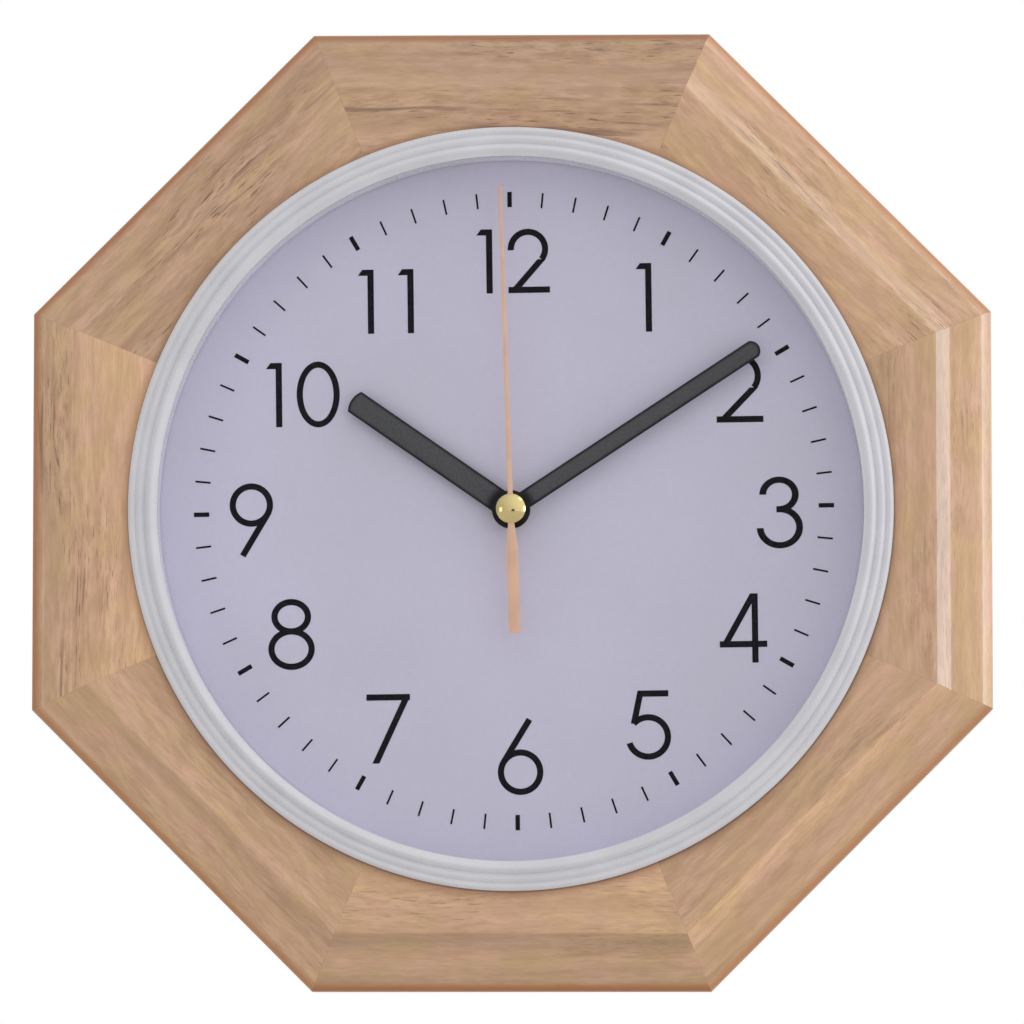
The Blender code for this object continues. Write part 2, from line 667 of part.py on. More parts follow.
def make_bezel():
    """Moulded ring with three beads, a flange on the wood and a skirt down the opening."""
    width = BEZEL_RADIUS - LIP_RADIUS
    beads = []
    for start, end, rise, lean in zip(BEAD_EDGES, BEAD_EDGES[1:], BEAD_RISE, BEAD_LEAN):
        for step in range(BEAD_STEPS):
            part = step / BEAD_STEPS
            share = start + (end - start) * part
            bump = rise * math.sin(math.pi * part**lean)
            beads.append((LIP_RADIUS + width * share, LIP_FRONT - BEAD_FALL * share + bump))
    profile = beads + [
        (BEZEL_RADIUS, LIP_FRONT - BEAD_FALL),
        (BEZEL_RADIUS, FACE_HEIGHT + SEAT_GAP),
        (SKIRT_RADIUS, FACE_HEIGHT + SEAT_GAP),
        (SKIRT_RADIUS, DIAL_FRONT + SEAT_GAP),
        (SKIRT_BORE, DIAL_FRONT + SEAT_GAP),
        (SKIRT_BORE, LIP_BACK),
        (LIP_RADIUS, LIP_BACK),
    ]
    piece("bezel", turned(profile, ring=True), "white_plastic")


def ring_section(inner, outer, low, high):
    return [(inner, high), (outer, high), (outer, low), (inner, low)]


def make_glazing():
    """Flat glass under the bezel's lip, and the ring that holds it up from the dial."""
    piece("glass", disc(GLASS_RADIUS, GLASS_BACK, GLASS_FRONT, RING_SIDES), "clear_glass")
    low = DIAL_FRONT + SEAT_GAP
    section = ring_section(GLASS_RADIUS - SPACER_WALL, GLASS_RADIUS, low, GLASS_BACK - SEAT_GAP)
    piece("spacer_ring", turned(section, ring=True), "white_plastic")


def make_dial():
    """Round dial sheet on a back plate, which four screws hold in the frame's rabbet."""
    hole = bore(BUSH_RADIUS, GLUE_GAP, RING_SIDES)
    section = ring_section(hole, DIAL_RADIUS, DIAL_BACK, DIAL_FRONT)
    piece("dial", turned(section, ring=True), "dial_white")
    places = [stepped(HAND_AXIS, SCREW_CIRCLE, 45 + 90 * quarter) for quarter in range(4)]
    through = (PLATE_BACK - PLATE_THICKNESS, PLATE_FRONT + PLATE_THICKNESS)
    holes = [disc(bore(BUSH_RADIUS, GLUE_GAP), *through)]
    holes += [disc(bore(SCREW_RADIUS, GLUE_GAP), *through, SMALL_SIDES, at) for at in places]
    plate_disc = disc(RABBET_RADIUS - PLATE_EDGE_GAP, PLATE_BACK, PLATE_FRONT, RING_SIDES)
    piece("back_plate", plate_disc, "hardboard", cut=[together(holes)])
    head = PLATE_BACK - GLUE_GAP
    crown = SCREW_HEAD_HEIGHT / 2
    profile = [
        (0, SCREW_TIP),
        (SCREW_RADIUS, SCREW_TIP - SCREW_POINT),
        (SCREW_RADIUS, head),
        (SCREW_HEAD_RADIUS, head),
        (SCREW_HEAD_RADIUS, head - crown),
        (SCREW_HEAD_RADIUS - crown, head - SCREW_HEAD_HEIGHT),
        (0, head - SCREW_HEAD_HEIGHT),
    ]
    corners = ("top_right", "top_left", "bottom_left", "bottom_right")
    for corner, at in zip(corners, places):
        piece(f"plate_screw_{corner}", turned(profile, SMALL_SIDES), "zinc", at)


def make_hanger():
    """Steel keyhole plate let into the back of the upper rail, with two countersunk screws."""
    outlines = [rounded_box(HANGER_LOW, HANGER_HIGH, HANGER_CORNER), keyhole_outline()]
    past = HANGER_THICKNESS / 4
    slope = (HANGER_HEAD_RADIUS - HANGER_SCREW_RADIUS) / HANGER_THICKNESS
    wide = bore(HANGER_HEAD_RADIUS + slope * past, GLUE_GAP)
    narrow = bore(HANGER_SCREW_RADIUS, GLUE_GAP)
    sinks = [disc(wide, -past, HANGER_THICKNESS, SMALL_SIDES, at, narrow) for at in HANGER_SCREWS]
    through = (HANGER_THICKNESS - past, HANGER_THICKNESS + past)
    holes = [disc(narrow, *through, SMALL_SIDES, at) for at in HANGER_SCREWS]
    sheet = plate(outlines, 0, HANGER_THICKNESS)
    piece("hanger_plate", sheet, "steel", cut=[together(sinks), together(holes)])
    profile = [
        (0, HANGER_SCREW_LENGTH),
        (HANGER_SCREW_RADIUS, HANGER_SCREW_LENGTH - SCREW_POINT),
        (HANGER_SCREW_RADIUS, HANGER_THICKNESS),
        (HANGER_HEAD_RADIUS, 0),
        (0, 0),
    ]
    for side, at in zip(("left", "right"), HANGER_SCREWS):
        piece(f"hanger_screw_{side}", turned(profile, SMALL_SIDES), "zinc", at)


def hand_outline(length, width, boss_radius):
    """A plain bar with round corners at its end, grown out of a round boss, pointing up."""
    half = width / 2
    meet = math.degrees(math.asin(half / boss_radius))
    end = length - HAND_END_ROUND
    points = arc((0, 0), boss_radius, 90 + meet, 450 - meet, MIDDLE_SIDES)
    points += arc((half - HAND_END_ROUND, end), HAND_END_ROUND, 0, 90, 3)
    points += arc((HAND_END_ROUND - half, end), HAND_END_ROUND, 90, 180, 3)
    return points


def bar_hand(name, length, width, boss_radius, tube_radius, back, angle):
    """An hour or minute hand pressed on its tube by a short collar."""
    front = back + HAND_THICKNESS
    hole = bore(tube_radius, GLUE_GAP)
    collar = disc(hole + HAND_COLLAR_WALL, back - HAND_COLLAR_PROUD, front + HAND_COLLAR_PROUD)
    drill = disc(hole, back - HAND_STEP, front + HAND_STEP)
    bar = plate([hand_outline(length, width, boss_radius)], back, front)
    piece(name, bar, "hand_black", turn=-angle, add=[collar], cut=[drill])


def make_hands():
    """Hour and minute bars, a thin second hand with a broad tail, and the domed cap over its boss."""
    bar_hand(
        "hour_hand",
        HOUR_HAND_LENGTH,
        HOUR_HAND_WIDTH,
        HOUR_BOSS_RADIUS,
        HOUR_TUBE_RADIUS,
        HOUR_HAND_BACK,
        HOUR_ANGLE,
    )
    bar_hand(
        "minute_hand",
        MINUTE_HAND_LENGTH,
        MINUTE_HAND_WIDTH,
        MINUTE_BOSS_RADIUS,
        MINUTE_TUBE_RADIUS,
        MINUTE_HAND_BACK,
        MINUTE_ANGLE,
    )
    front = SECOND_HAND_BACK + HAND_THICKNESS
    needle = [
        (-SECOND_TAIL_WIDTH / 2, -SECOND_TAIL_LENGTH),
        (SECOND_TAIL_WIDTH / 2, -SECOND_TAIL_LENGTH),
        (SECOND_TAIL_WIDTH / 2, -SECOND_TAIL_FLARE),
        (SECOND_HUB_WIDTH / 2, 0),
        (SECOND_TIP_WIDTH / 2, SECOND_HAND_LENGTH),
        (-SECOND_TIP_WIDTH / 2, SECOND_HAND_LENGTH),
        (-SECOND_HUB_WIDTH / 2, 0),
        (-SECOND_TAIL_WIDTH / 2, -SECOND_TAIL_FLARE),
    ]
    hole = bore(SECOND_ARBOR_RADIUS, GLUE_GAP)
    boss = disc(SECOND_BOSS_RADIUS, SECOND_HAND_BACK, front)
    collar = disc(hole + HAND_COLLAR_WALL, SECOND_HAND_BACK - HAND_COLLAR_PROUD, front - HAND_THICKNESS / 4)
    drill = disc(hole, SECOND_HAND_BACK - HAND_STEP, front - HAND_THICKNESS / 2)
    piece(
        "second_hand",
        plate([needle], SECOND_HAND_BACK, front),
        "hand_gold",
        turn=-SECOND_ANGLE,
        add=[boss, collar],
        cut=[drill],
    )
    dome = [(0, CAP_BACK + CAP_HEIGHT)]
    for step in range(1, 6):
        angle = math.radians(90 - 90 * step / 5)
        dome.append((CAP_RADIUS * math.cos(angle), CAP_BACK + CAP_HEIGHT * (0.2 + 0.8 * math.sin(angle))))
    dome += [(CAP_RADIUS, CAP_BACK), (0, CAP_BACK)]
    piece("hand_cap", turned(dome, MIDDLE_SIDES), "brass")


def make_fixing():
    """Rubber gasket, washer and hexagon nut that hold the movement to the back plate and dial."""
    hole = bore(BUSH_RADIUS, GLUE_GAP, MIDDLE_SIDES)
    rubber = ring_section(hole, GASKET_RADIUS, MOVEMENT_FRONT + GLUE_GAP, PLATE_BACK - GLUE_GAP)
    piece("gasket", turned(rubber, MIDDLE_SIDES, ring=True), "rubber")
    washer = ring_section(hole, WASHER_RADIUS, WASHER_BACK, WASHER_BACK + WASHER_THICKNESS)
    piece("nut_washer", turned(washer, MIDDLE_SIDES, ring=True), "brass")
    corner = NUT_FLAT / 2 / math.cos(math.radians(30))
    through = disc(hole, NUT_BACK - NUT_THICKNESS, NUT_FRONT + NUT_THICKNESS, MIDDLE_SIDES)
    piece("fixing_nut", disc(corner, NUT_BACK, NUT_FRONT, 6), "brass", cut=[through])


ARBOR_PLACES = (SECONDS_MIDDLE, SECONDS_ROTOR, MINUTES_INNER, MINUTES_OUTER, MINUTES_ROTOR)
STATOR_BACK = layer(5, STATOR_THICKNESS)[0]
STATOR_FRONT = layer(5, STATOR_THICKNESS)[1]
LEG_INSET = STATOR_HALF_LENGTH - STATOR_LEG_WIDTH / 2
POST_LEVEL = COIL_LEVEL + BOBBIN_RADIUS + POST_RADIUS
CRADLE_PLACE = (FERRITE_LENGTH / 2 + ANTENNA_COIL_LENGTH / 2) / 2


def make_housing():
    """Front half of the movement case, with its battery bay, threaded bush, stud, posts and cradles."""
    outer = CHAMBER_HALF + HOUSING_WALL
    shell = block((-outer, outer), (BAY_TOP, CHAMBER_TOP + HOUSING_WALL), (COVER_INNER, MOVEMENT_FRONT))
    bay = block(
        (-BAY_HALF - HOUSING_WALL, BAY_HALF + HOUSING_WALL),
        (BAY_BOTTOM - HOUSING_WALL, BAY_RIDGE),
        (COVER_BACK, MOVEMENT_FRONT),
    )
    chamber = block((-CHAMBER_HALF, CHAMBER_HALF), (CHAMBER_BOTTOM, CHAMBER_TOP), (0, CHAMBER_FLOOR))
    trough = block((-BAY_HALF, BAY_HALF), (BAY_BOTTOM, BAY_TOP), (0, CHAMBER_FLOOR))
    root = CHAMBER_FLOOR + HOUSING_WALL / 2
    bush = disc(BUSH_RADIUS, root, BUSH_FRONT, MIDDLE_SIDES)
    stud = disc(STUD_RADIUS, pinion_layer(1)[0], root, SMALL_SIDES, MOTION_AXIS)
    posts = [stud]
    for rotor in (SECONDS_ROTOR, MINUTES_ROTOR):
        for side in (-1, 1):
            at = (rotor[0] + side * LEG_INSET, POST_LEVEL)
            posts.append(disc(POST_RADIUS, STATOR_FRONT + GLUE_GAP, root, PIN_SIDES, at))
    for side in (-1, 1):
        at = (side * (BOARD_HALF_WIDTH - 3 * POST_RADIUS), BOARD_BOTTOM + 3 * POST_RADIUS)
        posts.append(disc(POST_RADIUS, BOARD_FRONT + GLUE_GAP, root, PIN_SIDES, at))
        middle = side * CRADLE_PLACE
        posts.append(
            block(
                (middle - CRADLE_WIDTH / 2, middle + CRADLE_WIDTH / 2),
                (ANTENNA_LEVEL - FERRITE_RADIUS, ANTENNA_LEVEL + FERRITE_RADIUS),
                (ANTENNA_HEIGHT + FERRITE_RADIUS + GLUE_GAP, root),
            )
        )
    pivot = bore(ARBOR_RADIUS, RUN_GAP, PIN_SIDES)
    deep = CHAMBER_FLOOR + PIVOT_DEPTH + GLUE_GAP
    pivots = [disc(pivot, CHAMBER_FLOOR - PIVOT_DEPTH, deep, PIN_SIDES, at) for at in ARBOR_PLACES]
    tunnel = disc(bore(HOUR_TUBE_RADIUS, RUN_GAP), CHAMBER_FLOOR - HOUSING_WALL, BUSH_FRONT + HOUSING_WALL)
    piece(
        "movement_housing",
        shell,
        "black_plastic",
        add=[bay, bush],
        cut=[chamber, trough],
        fittings=[together(posts)],
        drills=[together(pivots + [tunnel])],
    )


def make_cover():
    """Back half of the movement case: a lid with a locating rim, pivots and holes for the buttons."""
    outer = CHAMBER_HALF + HOUSING_WALL
    lid_back = COVER_INNER - GLUE_GAP
    lid = block((-outer, outer), (BAY_RIDGE + GLUE_GAP, CHAMBER_TOP + HOUSING_WALL), (COVER_BACK, lid_back))
    inset = GLUE_GAP
    rim_low = lid_back - COVER_WALL / 2
    rim_high = lid_back + COVER_RIM_HEIGHT
    rim = block(
        (-CHAMBER_HALF + inset, CHAMBER_HALF - inset),
        (CHAMBER_BOTTOM + inset, CHAMBER_TOP - inset),
        (rim_low, rim_high),
    )
    inset += COVER_RIM_WALL
    hollow = block(
        (-CHAMBER_HALF + inset, CHAMBER_HALF - inset),
        (CHAMBER_BOTTOM + inset, CHAMBER_TOP - inset),
        (lid_back, rim_high + COVER_WALL),
    )
    pivot = bore(ARBOR_RADIUS, RUN_GAP, PIN_SIDES)
    back_pivot = COVER_INNER - PIVOT_DEPTH - GLUE_GAP
    drills = [disc(pivot, back_pivot, COVER_INNER + PIVOT_DEPTH, PIN_SIDES, at) for at in ARBOR_PLACES]
    centre_pivot = bore(SECOND_ARBOR_RADIUS, RUN_GAP)
    drills.append(disc(centre_pivot, back_pivot, COVER_INNER + PIVOT_DEPTH))
    for place in BUTTON_PLACES.values():
        through = (COVER_BACK - COVER_WALL, COVER_INNER + COVER_WALL)
        drills.append(disc(bore(BUTTON_RADIUS, GLUE_GAP), *through, SMALL_SIDES, (place, BUTTON_LEVEL)))
    piece("movement_cover", lid, "black_plastic", add=[rim], cut=[hollow, together(drills)])


def make_motor(name, rotor_at, pinion, phase):
    """A stepping motor: rotor with magnet and pinion, stator plate round the magnet, and coil on its core."""
    low = layer(5, MAGNET_LENGTH)
    magnet = disc(MAGNET_RADIUS, *low)
    piece(f"{name}_rotor", magnet, "magnet", rotor_at, add=[arbor(), gear(PINION_TEETH, phase, *pinion)])
    half = STATOR_HALF_LENGTH
    leg = half - STATOR_LEG_WIDTH
    foot = COIL_LEVEL - CORE_WIDTH / 2 - rotor_at[1]
    outline = [
        (-half, STATOR_HALF_HEIGHT),
        (-half, foot),
        (-leg, foot),
        (-leg, -STATOR_HALF_HEIGHT),
        (leg, -STATOR_HALF_HEIGHT),
        (leg, foot),
        (half, foot),
        (half, STATOR_HALF_HEIGHT),
    ]
    hole = arc((0, 0), MAGNET_RADIUS + STATOR_AIR_GAP, 0, 360 - 360 / 24, 23)
    piece(f"{name}_stator", plate([outline, hole], STATOR_BACK, STATOR_FRONT), "steel", rotor_at)
    core_back = STATOR_FRONT + GLUE_GAP
    core = block(
        (-half, half),
        (COIL_LEVEL - CORE_WIDTH / 2, COIL_LEVEL + CORE_WIDTH / 2),
        (core_back, core_back + CORE_THICKNESS),
    )
    bobbin = leg - BOBBIN_END_GAP
    height = core_back + CORE_THICKNESS / 2
    spool = [
        (0, bobbin),
        (BOBBIN_RADIUS, bobbin),
        (BOBBIN_RADIUS, bobbin - BOBBIN_FLANGE),
        (COIL_RADIUS, bobbin - BOBBIN_FLANGE),
        (COIL_RADIUS, BOBBIN_FLANGE - bobbin),
        (BOBBIN_RADIUS, BOBBIN_FLANGE - bobbin),
        (BOBBIN_RADIUS, -bobbin),
        (0, -bobbin),
    ]
    winding = lying(turned(spool, SMALL_SIDES), (0, COIL_LEVEL, height))
    piece(f"{name}_coil", winding, "copper_wire", (rotor_at[0], 0), add=[core])


def make_train():
    """Seconds train, minutes train and motion work, each pinion meshed with the wheel it turns with."""
    middle_phase = meshing_phase(HAND_AXIS, TRAIN_WHEEL_TEETH, 0, SECONDS_MIDDLE, PINION_TEETH)
    rotor_phase = meshing_phase(SECONDS_MIDDLE, ROTOR_WHEEL_TEETH, 0, SECONDS_ROTOR, PINION_TEETH)
    make_motor("seconds", SECONDS_ROTOR, pinion_layer(3), rotor_phase)
    spindle = disc(SECOND_ARBOR_RADIUS, COVER_INNER - PIVOT_DEPTH, SECOND_HAND_BACK + HAND_THICKNESS / 4)
    piece("seconds_wheel", gear(TRAIN_WHEEL_TEETH, 0, *wheel_layer(4)), "gear_white", add=[spindle])
    piece(
        "seconds_middle_wheel",
        gear(ROTOR_WHEEL_TEETH, 0, *wheel_layer(3)),
        "gear_white",
        SECONDS_MIDDLE,
        add=[arbor(), gear(PINION_TEETH, middle_phase, *pinion_layer(4))],
    )
    inner_phase = meshing_phase(HAND_AXIS, TRAIN_WHEEL_TEETH, 0, MINUTES_INNER, PINION_TEETH)
    outer_phase = meshing_phase(MINUTES_INNER, TRAIN_WHEEL_TEETH, 0, MINUTES_OUTER, PINION_TEETH)
    rotor_phase = meshing_phase(MINUTES_OUTER, ROTOR_WHEEL_TEETH, 0, MINUTES_ROTOR, PINION_TEETH)
    make_motor("minutes", MINUTES_ROTOR, pinion_layer(2), rotor_phase)
    piece(
        "minutes_outer_wheel",
        gear(ROTOR_WHEEL_TEETH, 0, *wheel_layer(2)),
        "gear_white",
        MINUTES_OUTER,
        add=[arbor(), gear(PINION_TEETH, outer_phase, *pinion_layer(3))],
    )
    piece(
        "minutes_inner_wheel",
        gear(TRAIN_WHEEL_TEETH, 0, *wheel_layer(3)),
        "gear_white",
        MINUTES_INNER,
        add=[arbor(), gear(PINION_TEETH, inner_phase, *pinion_layer(2))],
    )
    minute_end = MINUTE_HAND_BACK + HAND_THICKNESS + HAND_COLLAR_PROUD
    tube = disc(MINUTE_TUBE_RADIUS, wheel_layer(2)[0], minute_end)
    drill = disc(bore(SECOND_ARBOR_RADIUS, RUN_GAP), 0, 2 * minute_end)
    piece(
        "minute_wheel",
        gear(TRAIN_WHEEL_TEETH, 0, *wheel_layer(2)),
        "gear_white",
        add=[gear(MINUTE_PINION_TEETH, 0, *pinion_layer(1)), tube],
        cut=[drill],
    )
    motion_phase = meshing_phase(HAND_AXIS, MINUTE_PINION_TEETH, 0, MOTION_AXIS, MOTION_WHEEL_TEETH)
    hour_phase = meshing_phase(MOTION_AXIS, MOTION_PINION_TEETH, 0, HAND_AXIS, HOUR_WHEEL_TEETH)
    sleeve = disc(bore(STUD_RADIUS, RUN_GAP) + HAND_COLLAR_WALL / 4, wheel_layer(1)[0], pinion_layer(0)[1])
    piece(
        "motion_wheel",
        gear(MOTION_WHEEL_TEETH, motion_phase, *wheel_layer(1)),
        "gear_white",
        MOTION_AXIS,
        add=[gear(MOTION_PINION_TEETH, 0, *pinion_layer(0)), sleeve],
        cut=[disc(bore(STUD_RADIUS, RUN_GAP), 0, 2 * CHAMBER_FLOOR)],
    )
    hour_end = HOUR_HAND_BACK + HAND_THICKNESS + HAND_COLLAR_PROUD
    piece(
        "hour_wheel",
        gear(HOUR_WHEEL_TEETH, hour_phase, *wheel_layer(0)),
        "gear_white",
        add=[disc(HOUR_TUBE_RADIUS, wheel_layer(0)[0], hour_end)],
        cut=[disc(bore(MINUTE_TUBE_RADIUS, RUN_GAP), 0, 2 * hour_end)],
    )


def make_circuit():
    """Circuit board with its switches, chip and crystal, the ferrite antenna and the three buttons."""
    board = block((-BOARD_HALF_WIDTH, BOARD_HALF_WIDTH), (BOARD_BOTTOM, BOARD_TOP), (BOARD_BACK, BOARD_FRONT))
    half = SWITCH_SIDE / 2
    switches = [
        block(
            (place - half, place + half),
            (BUTTON_LEVEL - half, BUTTON_LEVEL + half),
            (BOARD_BACK - SWITCH_HEIGHT, BOARD_BACK + BOARD_THICKNESS / 2),
        )
        for place in BUTTON_PLACES.values()
    ]
    piece("circuit_board", board, "board_green", add=[together(switches)])
    seat = BOARD_FRONT + GLUE_GAP
    x, y = CHIP_PLACE
    chip = block(
        (x - CHIP_SIZE[0] / 2, x + CHIP_SIZE[0] / 2),
        (y - CHIP_SIZE[1] / 2, y + CHIP_SIZE[1] / 2),
        (seat, seat + CHIP_SIZE[2]),
    )
    piece("receiver_chip", chip, "black_plastic")
    can = disc(CRYSTAL_RADIUS, -CRYSTAL_LENGTH / 2, CRYSTAL_LENGTH / 2)
    piece("quartz_crystal", lying(can, (*CRYSTAL_PLACE, seat + CRYSTAL_RADIUS)), "steel")
    axis = (0, ANTENNA_LEVEL, ANTENNA_HEIGHT)
    rod = disc(FERRITE_RADIUS, -FERRITE_LENGTH / 2, FERRITE_LENGTH / 2)
    piece("ferrite_rod", lying(rod, axis), "ferrite")
    half_coil = ANTENNA_COIL_LENGTH / 2
    section = ring_section(bore(FERRITE_RADIUS, GLUE_GAP), ANTENNA_COIL_RADIUS, -half_coil, half_coil)
    piece("antenna_coil", lying(turned(section, SMALL_SIDES, ring=True), axis), "copper_wire")
    flange = COVER_INNER + GLUE_GAP
    for name, place in BUTTON_PLACES.items():
        profile = [
            (0, flange + BUTTON_FLANGE),
            (BUTTON_FLANGE_RADIUS, flange + BUTTON_FLANGE),
            (BUTTON_FLANGE_RADIUS, flange),
            (BUTTON_RADIUS, flange),
            (BUTTON_RADIUS, COVER_BACK - BUTTON_PROUD),
            (0, COVER_BACK - BUTTON_PROUD),
        ]
        piece(name, turned(profile, SMALL_SIDES), "grey_plastic", (place, BUTTON_LEVEL))


def contact_leaf(end, tip):
    """A bowed spring leaf from the bay's end wall to the battery's end, drawn in x and height."""
    side = math.copysign(1, end)
    wall = abs(end) - GLUE_GAP
    reach = abs(tip) + SEAT_GAP
    low = COVER_BACK + CONTACT_FOOT
    high = CHAMBER_FLOOR - GLUE_GAP
    middle = BATTERY_BACK + BATTERY_RADIUS
    inner = [
        (wall - CONTACT_THICKNESS, low),
        (wall - CONTACT_THICKNESS, low + CONTACT_FOOT),
        (reach, middle),
        (wall - CONTACT_THICKNESS, high - CONTACT_FOOT),
        (wall - CONTACT_THICKNESS, high),
    ]
    back = [(x + CONTACT_THICKNESS, z) for x, z in reversed(inner)]
    outline = [(side * x, z) for x, z in inner + back]
    leaf = plate([outline], -CONTACT_WIDTH / 2, CONTACT_WIDTH / 2)
    leaf.transform(Matrix.Translation((0, BATTERY_LEVEL, 0)) @ Matrix.Rotation(math.radians(90), 4, "X"))
    return leaf


def make_power():
    """The AA cell and the spring leaves at its two ends."""
    body = BATTERY_LENGTH / 2 - BATTERY_NUB_HEIGHT
    profile = [
        (0, BATTERY_LENGTH / 2),
        (BATTERY_NUB_RADIUS, BATTERY_LENGTH / 2),
        (BATTERY_NUB_RADIUS, body),
        (BATTERY_RADIUS - BATTERY_EDGE_ROUND, body),
        (BATTERY_RADIUS, body - BATTERY_EDGE_ROUND),
        (BATTERY_RADIUS, BATTERY_EDGE_ROUND - BATTERY_LENGTH / 2),
        (BATTERY_RADIUS - BATTERY_EDGE_ROUND, -BATTERY_LENGTH / 2),
        (0, -BATTERY_LENGTH / 2),
    ]
    height = BATTERY_BACK + BATTERY_RADIUS
    cell = lying(turned(profile, MIDDLE_SIDES), (0, BATTERY_LEVEL, height))
    piece("battery", cell, "battery_wrap")
    piece("positive_contact", contact_leaf(BAY_HALF, BATTERY_LENGTH / 2), "steel")
    piece("negative_contact", contact_leaf(-BAY_HALF, -BATTERY_LENGTH / 2), "steel")


make_frame()
make_bezel()
make_glazing()
make_dial()
make_hanger()
make_hands()
make_fixing()
make_housing()
make_cover()
make_train()
make_circuit()
make_power()
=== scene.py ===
# %% [markdown]
# # A schoolhouse wall clock
#
# The clock is an eight-sided frame of pale varnished wood with a ribbed white ring, a printed dial and
# three hands. This file dresses that model: parts whose solids are too plain are modelled again in the
# same place, and every part gets a finish made of shader nodes.

# %% Load the frame
import json
import math
from collections import namedtuple

import bpy
from mathutils import Matrix, Vector

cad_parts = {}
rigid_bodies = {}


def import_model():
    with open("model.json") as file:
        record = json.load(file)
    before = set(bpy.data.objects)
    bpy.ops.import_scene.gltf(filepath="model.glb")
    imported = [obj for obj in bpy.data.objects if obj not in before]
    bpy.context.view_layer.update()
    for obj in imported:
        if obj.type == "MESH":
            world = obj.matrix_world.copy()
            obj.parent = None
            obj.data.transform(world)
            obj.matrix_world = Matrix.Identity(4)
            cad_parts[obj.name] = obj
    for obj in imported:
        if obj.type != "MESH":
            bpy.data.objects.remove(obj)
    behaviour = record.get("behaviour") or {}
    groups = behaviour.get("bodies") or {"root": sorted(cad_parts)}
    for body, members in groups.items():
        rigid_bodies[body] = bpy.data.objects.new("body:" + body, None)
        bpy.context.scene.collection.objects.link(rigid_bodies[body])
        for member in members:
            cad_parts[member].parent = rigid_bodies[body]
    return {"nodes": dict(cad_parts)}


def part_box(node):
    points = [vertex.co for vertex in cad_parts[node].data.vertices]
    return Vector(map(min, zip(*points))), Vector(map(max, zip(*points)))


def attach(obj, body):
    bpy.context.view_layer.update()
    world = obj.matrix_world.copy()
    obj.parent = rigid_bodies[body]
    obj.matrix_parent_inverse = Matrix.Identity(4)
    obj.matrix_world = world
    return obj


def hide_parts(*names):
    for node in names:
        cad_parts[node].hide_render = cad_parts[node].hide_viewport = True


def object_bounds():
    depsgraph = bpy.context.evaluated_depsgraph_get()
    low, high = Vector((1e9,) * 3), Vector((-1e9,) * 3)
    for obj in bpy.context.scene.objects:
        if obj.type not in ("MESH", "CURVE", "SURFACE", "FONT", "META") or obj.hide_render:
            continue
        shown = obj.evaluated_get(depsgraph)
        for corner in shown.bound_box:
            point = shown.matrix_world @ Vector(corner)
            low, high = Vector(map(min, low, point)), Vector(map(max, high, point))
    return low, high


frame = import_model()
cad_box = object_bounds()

bpy.ops.object.select_all(action="DESELECT")
print("parts in the frame:", len(frame["nodes"]))

# %% [markdown]
# ## Places on the clock
#
# The clock hangs on a wall, with the wall in the plane y = 0 and the dial looking towards -y. It is
# easier to think of a place as a clockmaker does: so far across and so far up from the hands' axis, and
# so high above the wall. One small function turns that into Blender's coordinates, and the axis itself is
# read from the dial.

# %% Places and lengths
MM = 0.001
TO_WALL = (0.0, 1.0, 0.0)
TO_VIEWER = (0.0, -1.0, 0.0)

dial_low, dial_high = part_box("dial")
AXIS = (dial_low.z + dial_high.z) / 2
DIAL_FRONT = -dial_low.y


def place(across, up, height):
    return Vector((across, -height, AXIS + up))


def heights(node):
    low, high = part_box(node)
    return -high.y, -low.y


def radius_of(node):
    low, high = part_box(node)
    return (high.x - low.x) / 2


print("hands' axis at", round(AXIS, 4), "dial front at", round(DIAL_FRONT / MM, 2), "mm")

# %% [markdown]
# ## Camera, light and floor
#
# The photograph was taken from far away with a long lens, a little to the right of the clock and a little
# below it, so the camera stands there and looks at the middle of the frame. The lens follows from the
# width that the picture shows. The background is white, and the light is soft: a pale room that is
# brighter towards the upper right, a tall narrow window on the right that draws the gloss on the varnish,
# and weak panels above it and on the left. A dark spot beside the lens gives the polished brass something
# to mirror, because it looks flat without.

# %% Camera
CAMERA_DISTANCE = 2.2
CAMERA_TO_RIGHT = math.radians(1.6)
CAMERA_BELOW = math.radians(4.4)
PICTURE_WIDTH = 320.8 * MM
AIM_HEIGHT = 14 * MM
SENSOR_WIDTH = 36.0

aim = place(0.0, 0.0, AIM_HEIGHT)
sight = Vector(
    (
        math.sin(CAMERA_TO_RIGHT) * math.cos(CAMERA_BELOW),
        -math.cos(CAMERA_TO_RIGHT) * math.cos(CAMERA_BELOW),
        -math.sin(CAMERA_BELOW),
    )
)
look = sight.to_track_quat("Z", "Y").to_euler()
bpy.ops.object.camera_add(location=aim + sight * CAMERA_DISTANCE, rotation=look)
camera = bpy.context.object
camera.name = "camera"
camera.data.sensor_width = SENSOR_WIDTH
camera.data.lens = SENSOR_WIDTH * CAMERA_DISTANCE / PICTURE_WIDTH
bpy.context.scene.camera = camera
print("lens", round(camera.data.lens), "mm")


# %% Room
ROOM_LIGHT = 0.695
ROOM_LEAN = 0.38
BRIGHT_SIDE = Vector((0.9, 0.0, 0.44))
DARK_SIDE = Vector((0.2, -0.95, -0.15))
DARK_REACH = math.radians(11)
DARK_EDGE = math.radians(6)
DARK_LEFT = 0.12

scene = bpy.context.scene
scene.view_settings.view_transform = "Standard"
scene.world = bpy.data.worlds.new("room")
scene.world.use_nodes = True
room = scene.world.node_tree
backdrop = room.nodes["Background"]
backdrop.inputs["Color"].default_value = (1.0, 1.0, 1.0, 1.0)
glow = room.nodes.new("ShaderNodeBackground")
glow.inputs["Color"].default_value = (0.98, 0.985, 1.0, 1.0)
direction = room.nodes.new("ShaderNodeTexCoord")


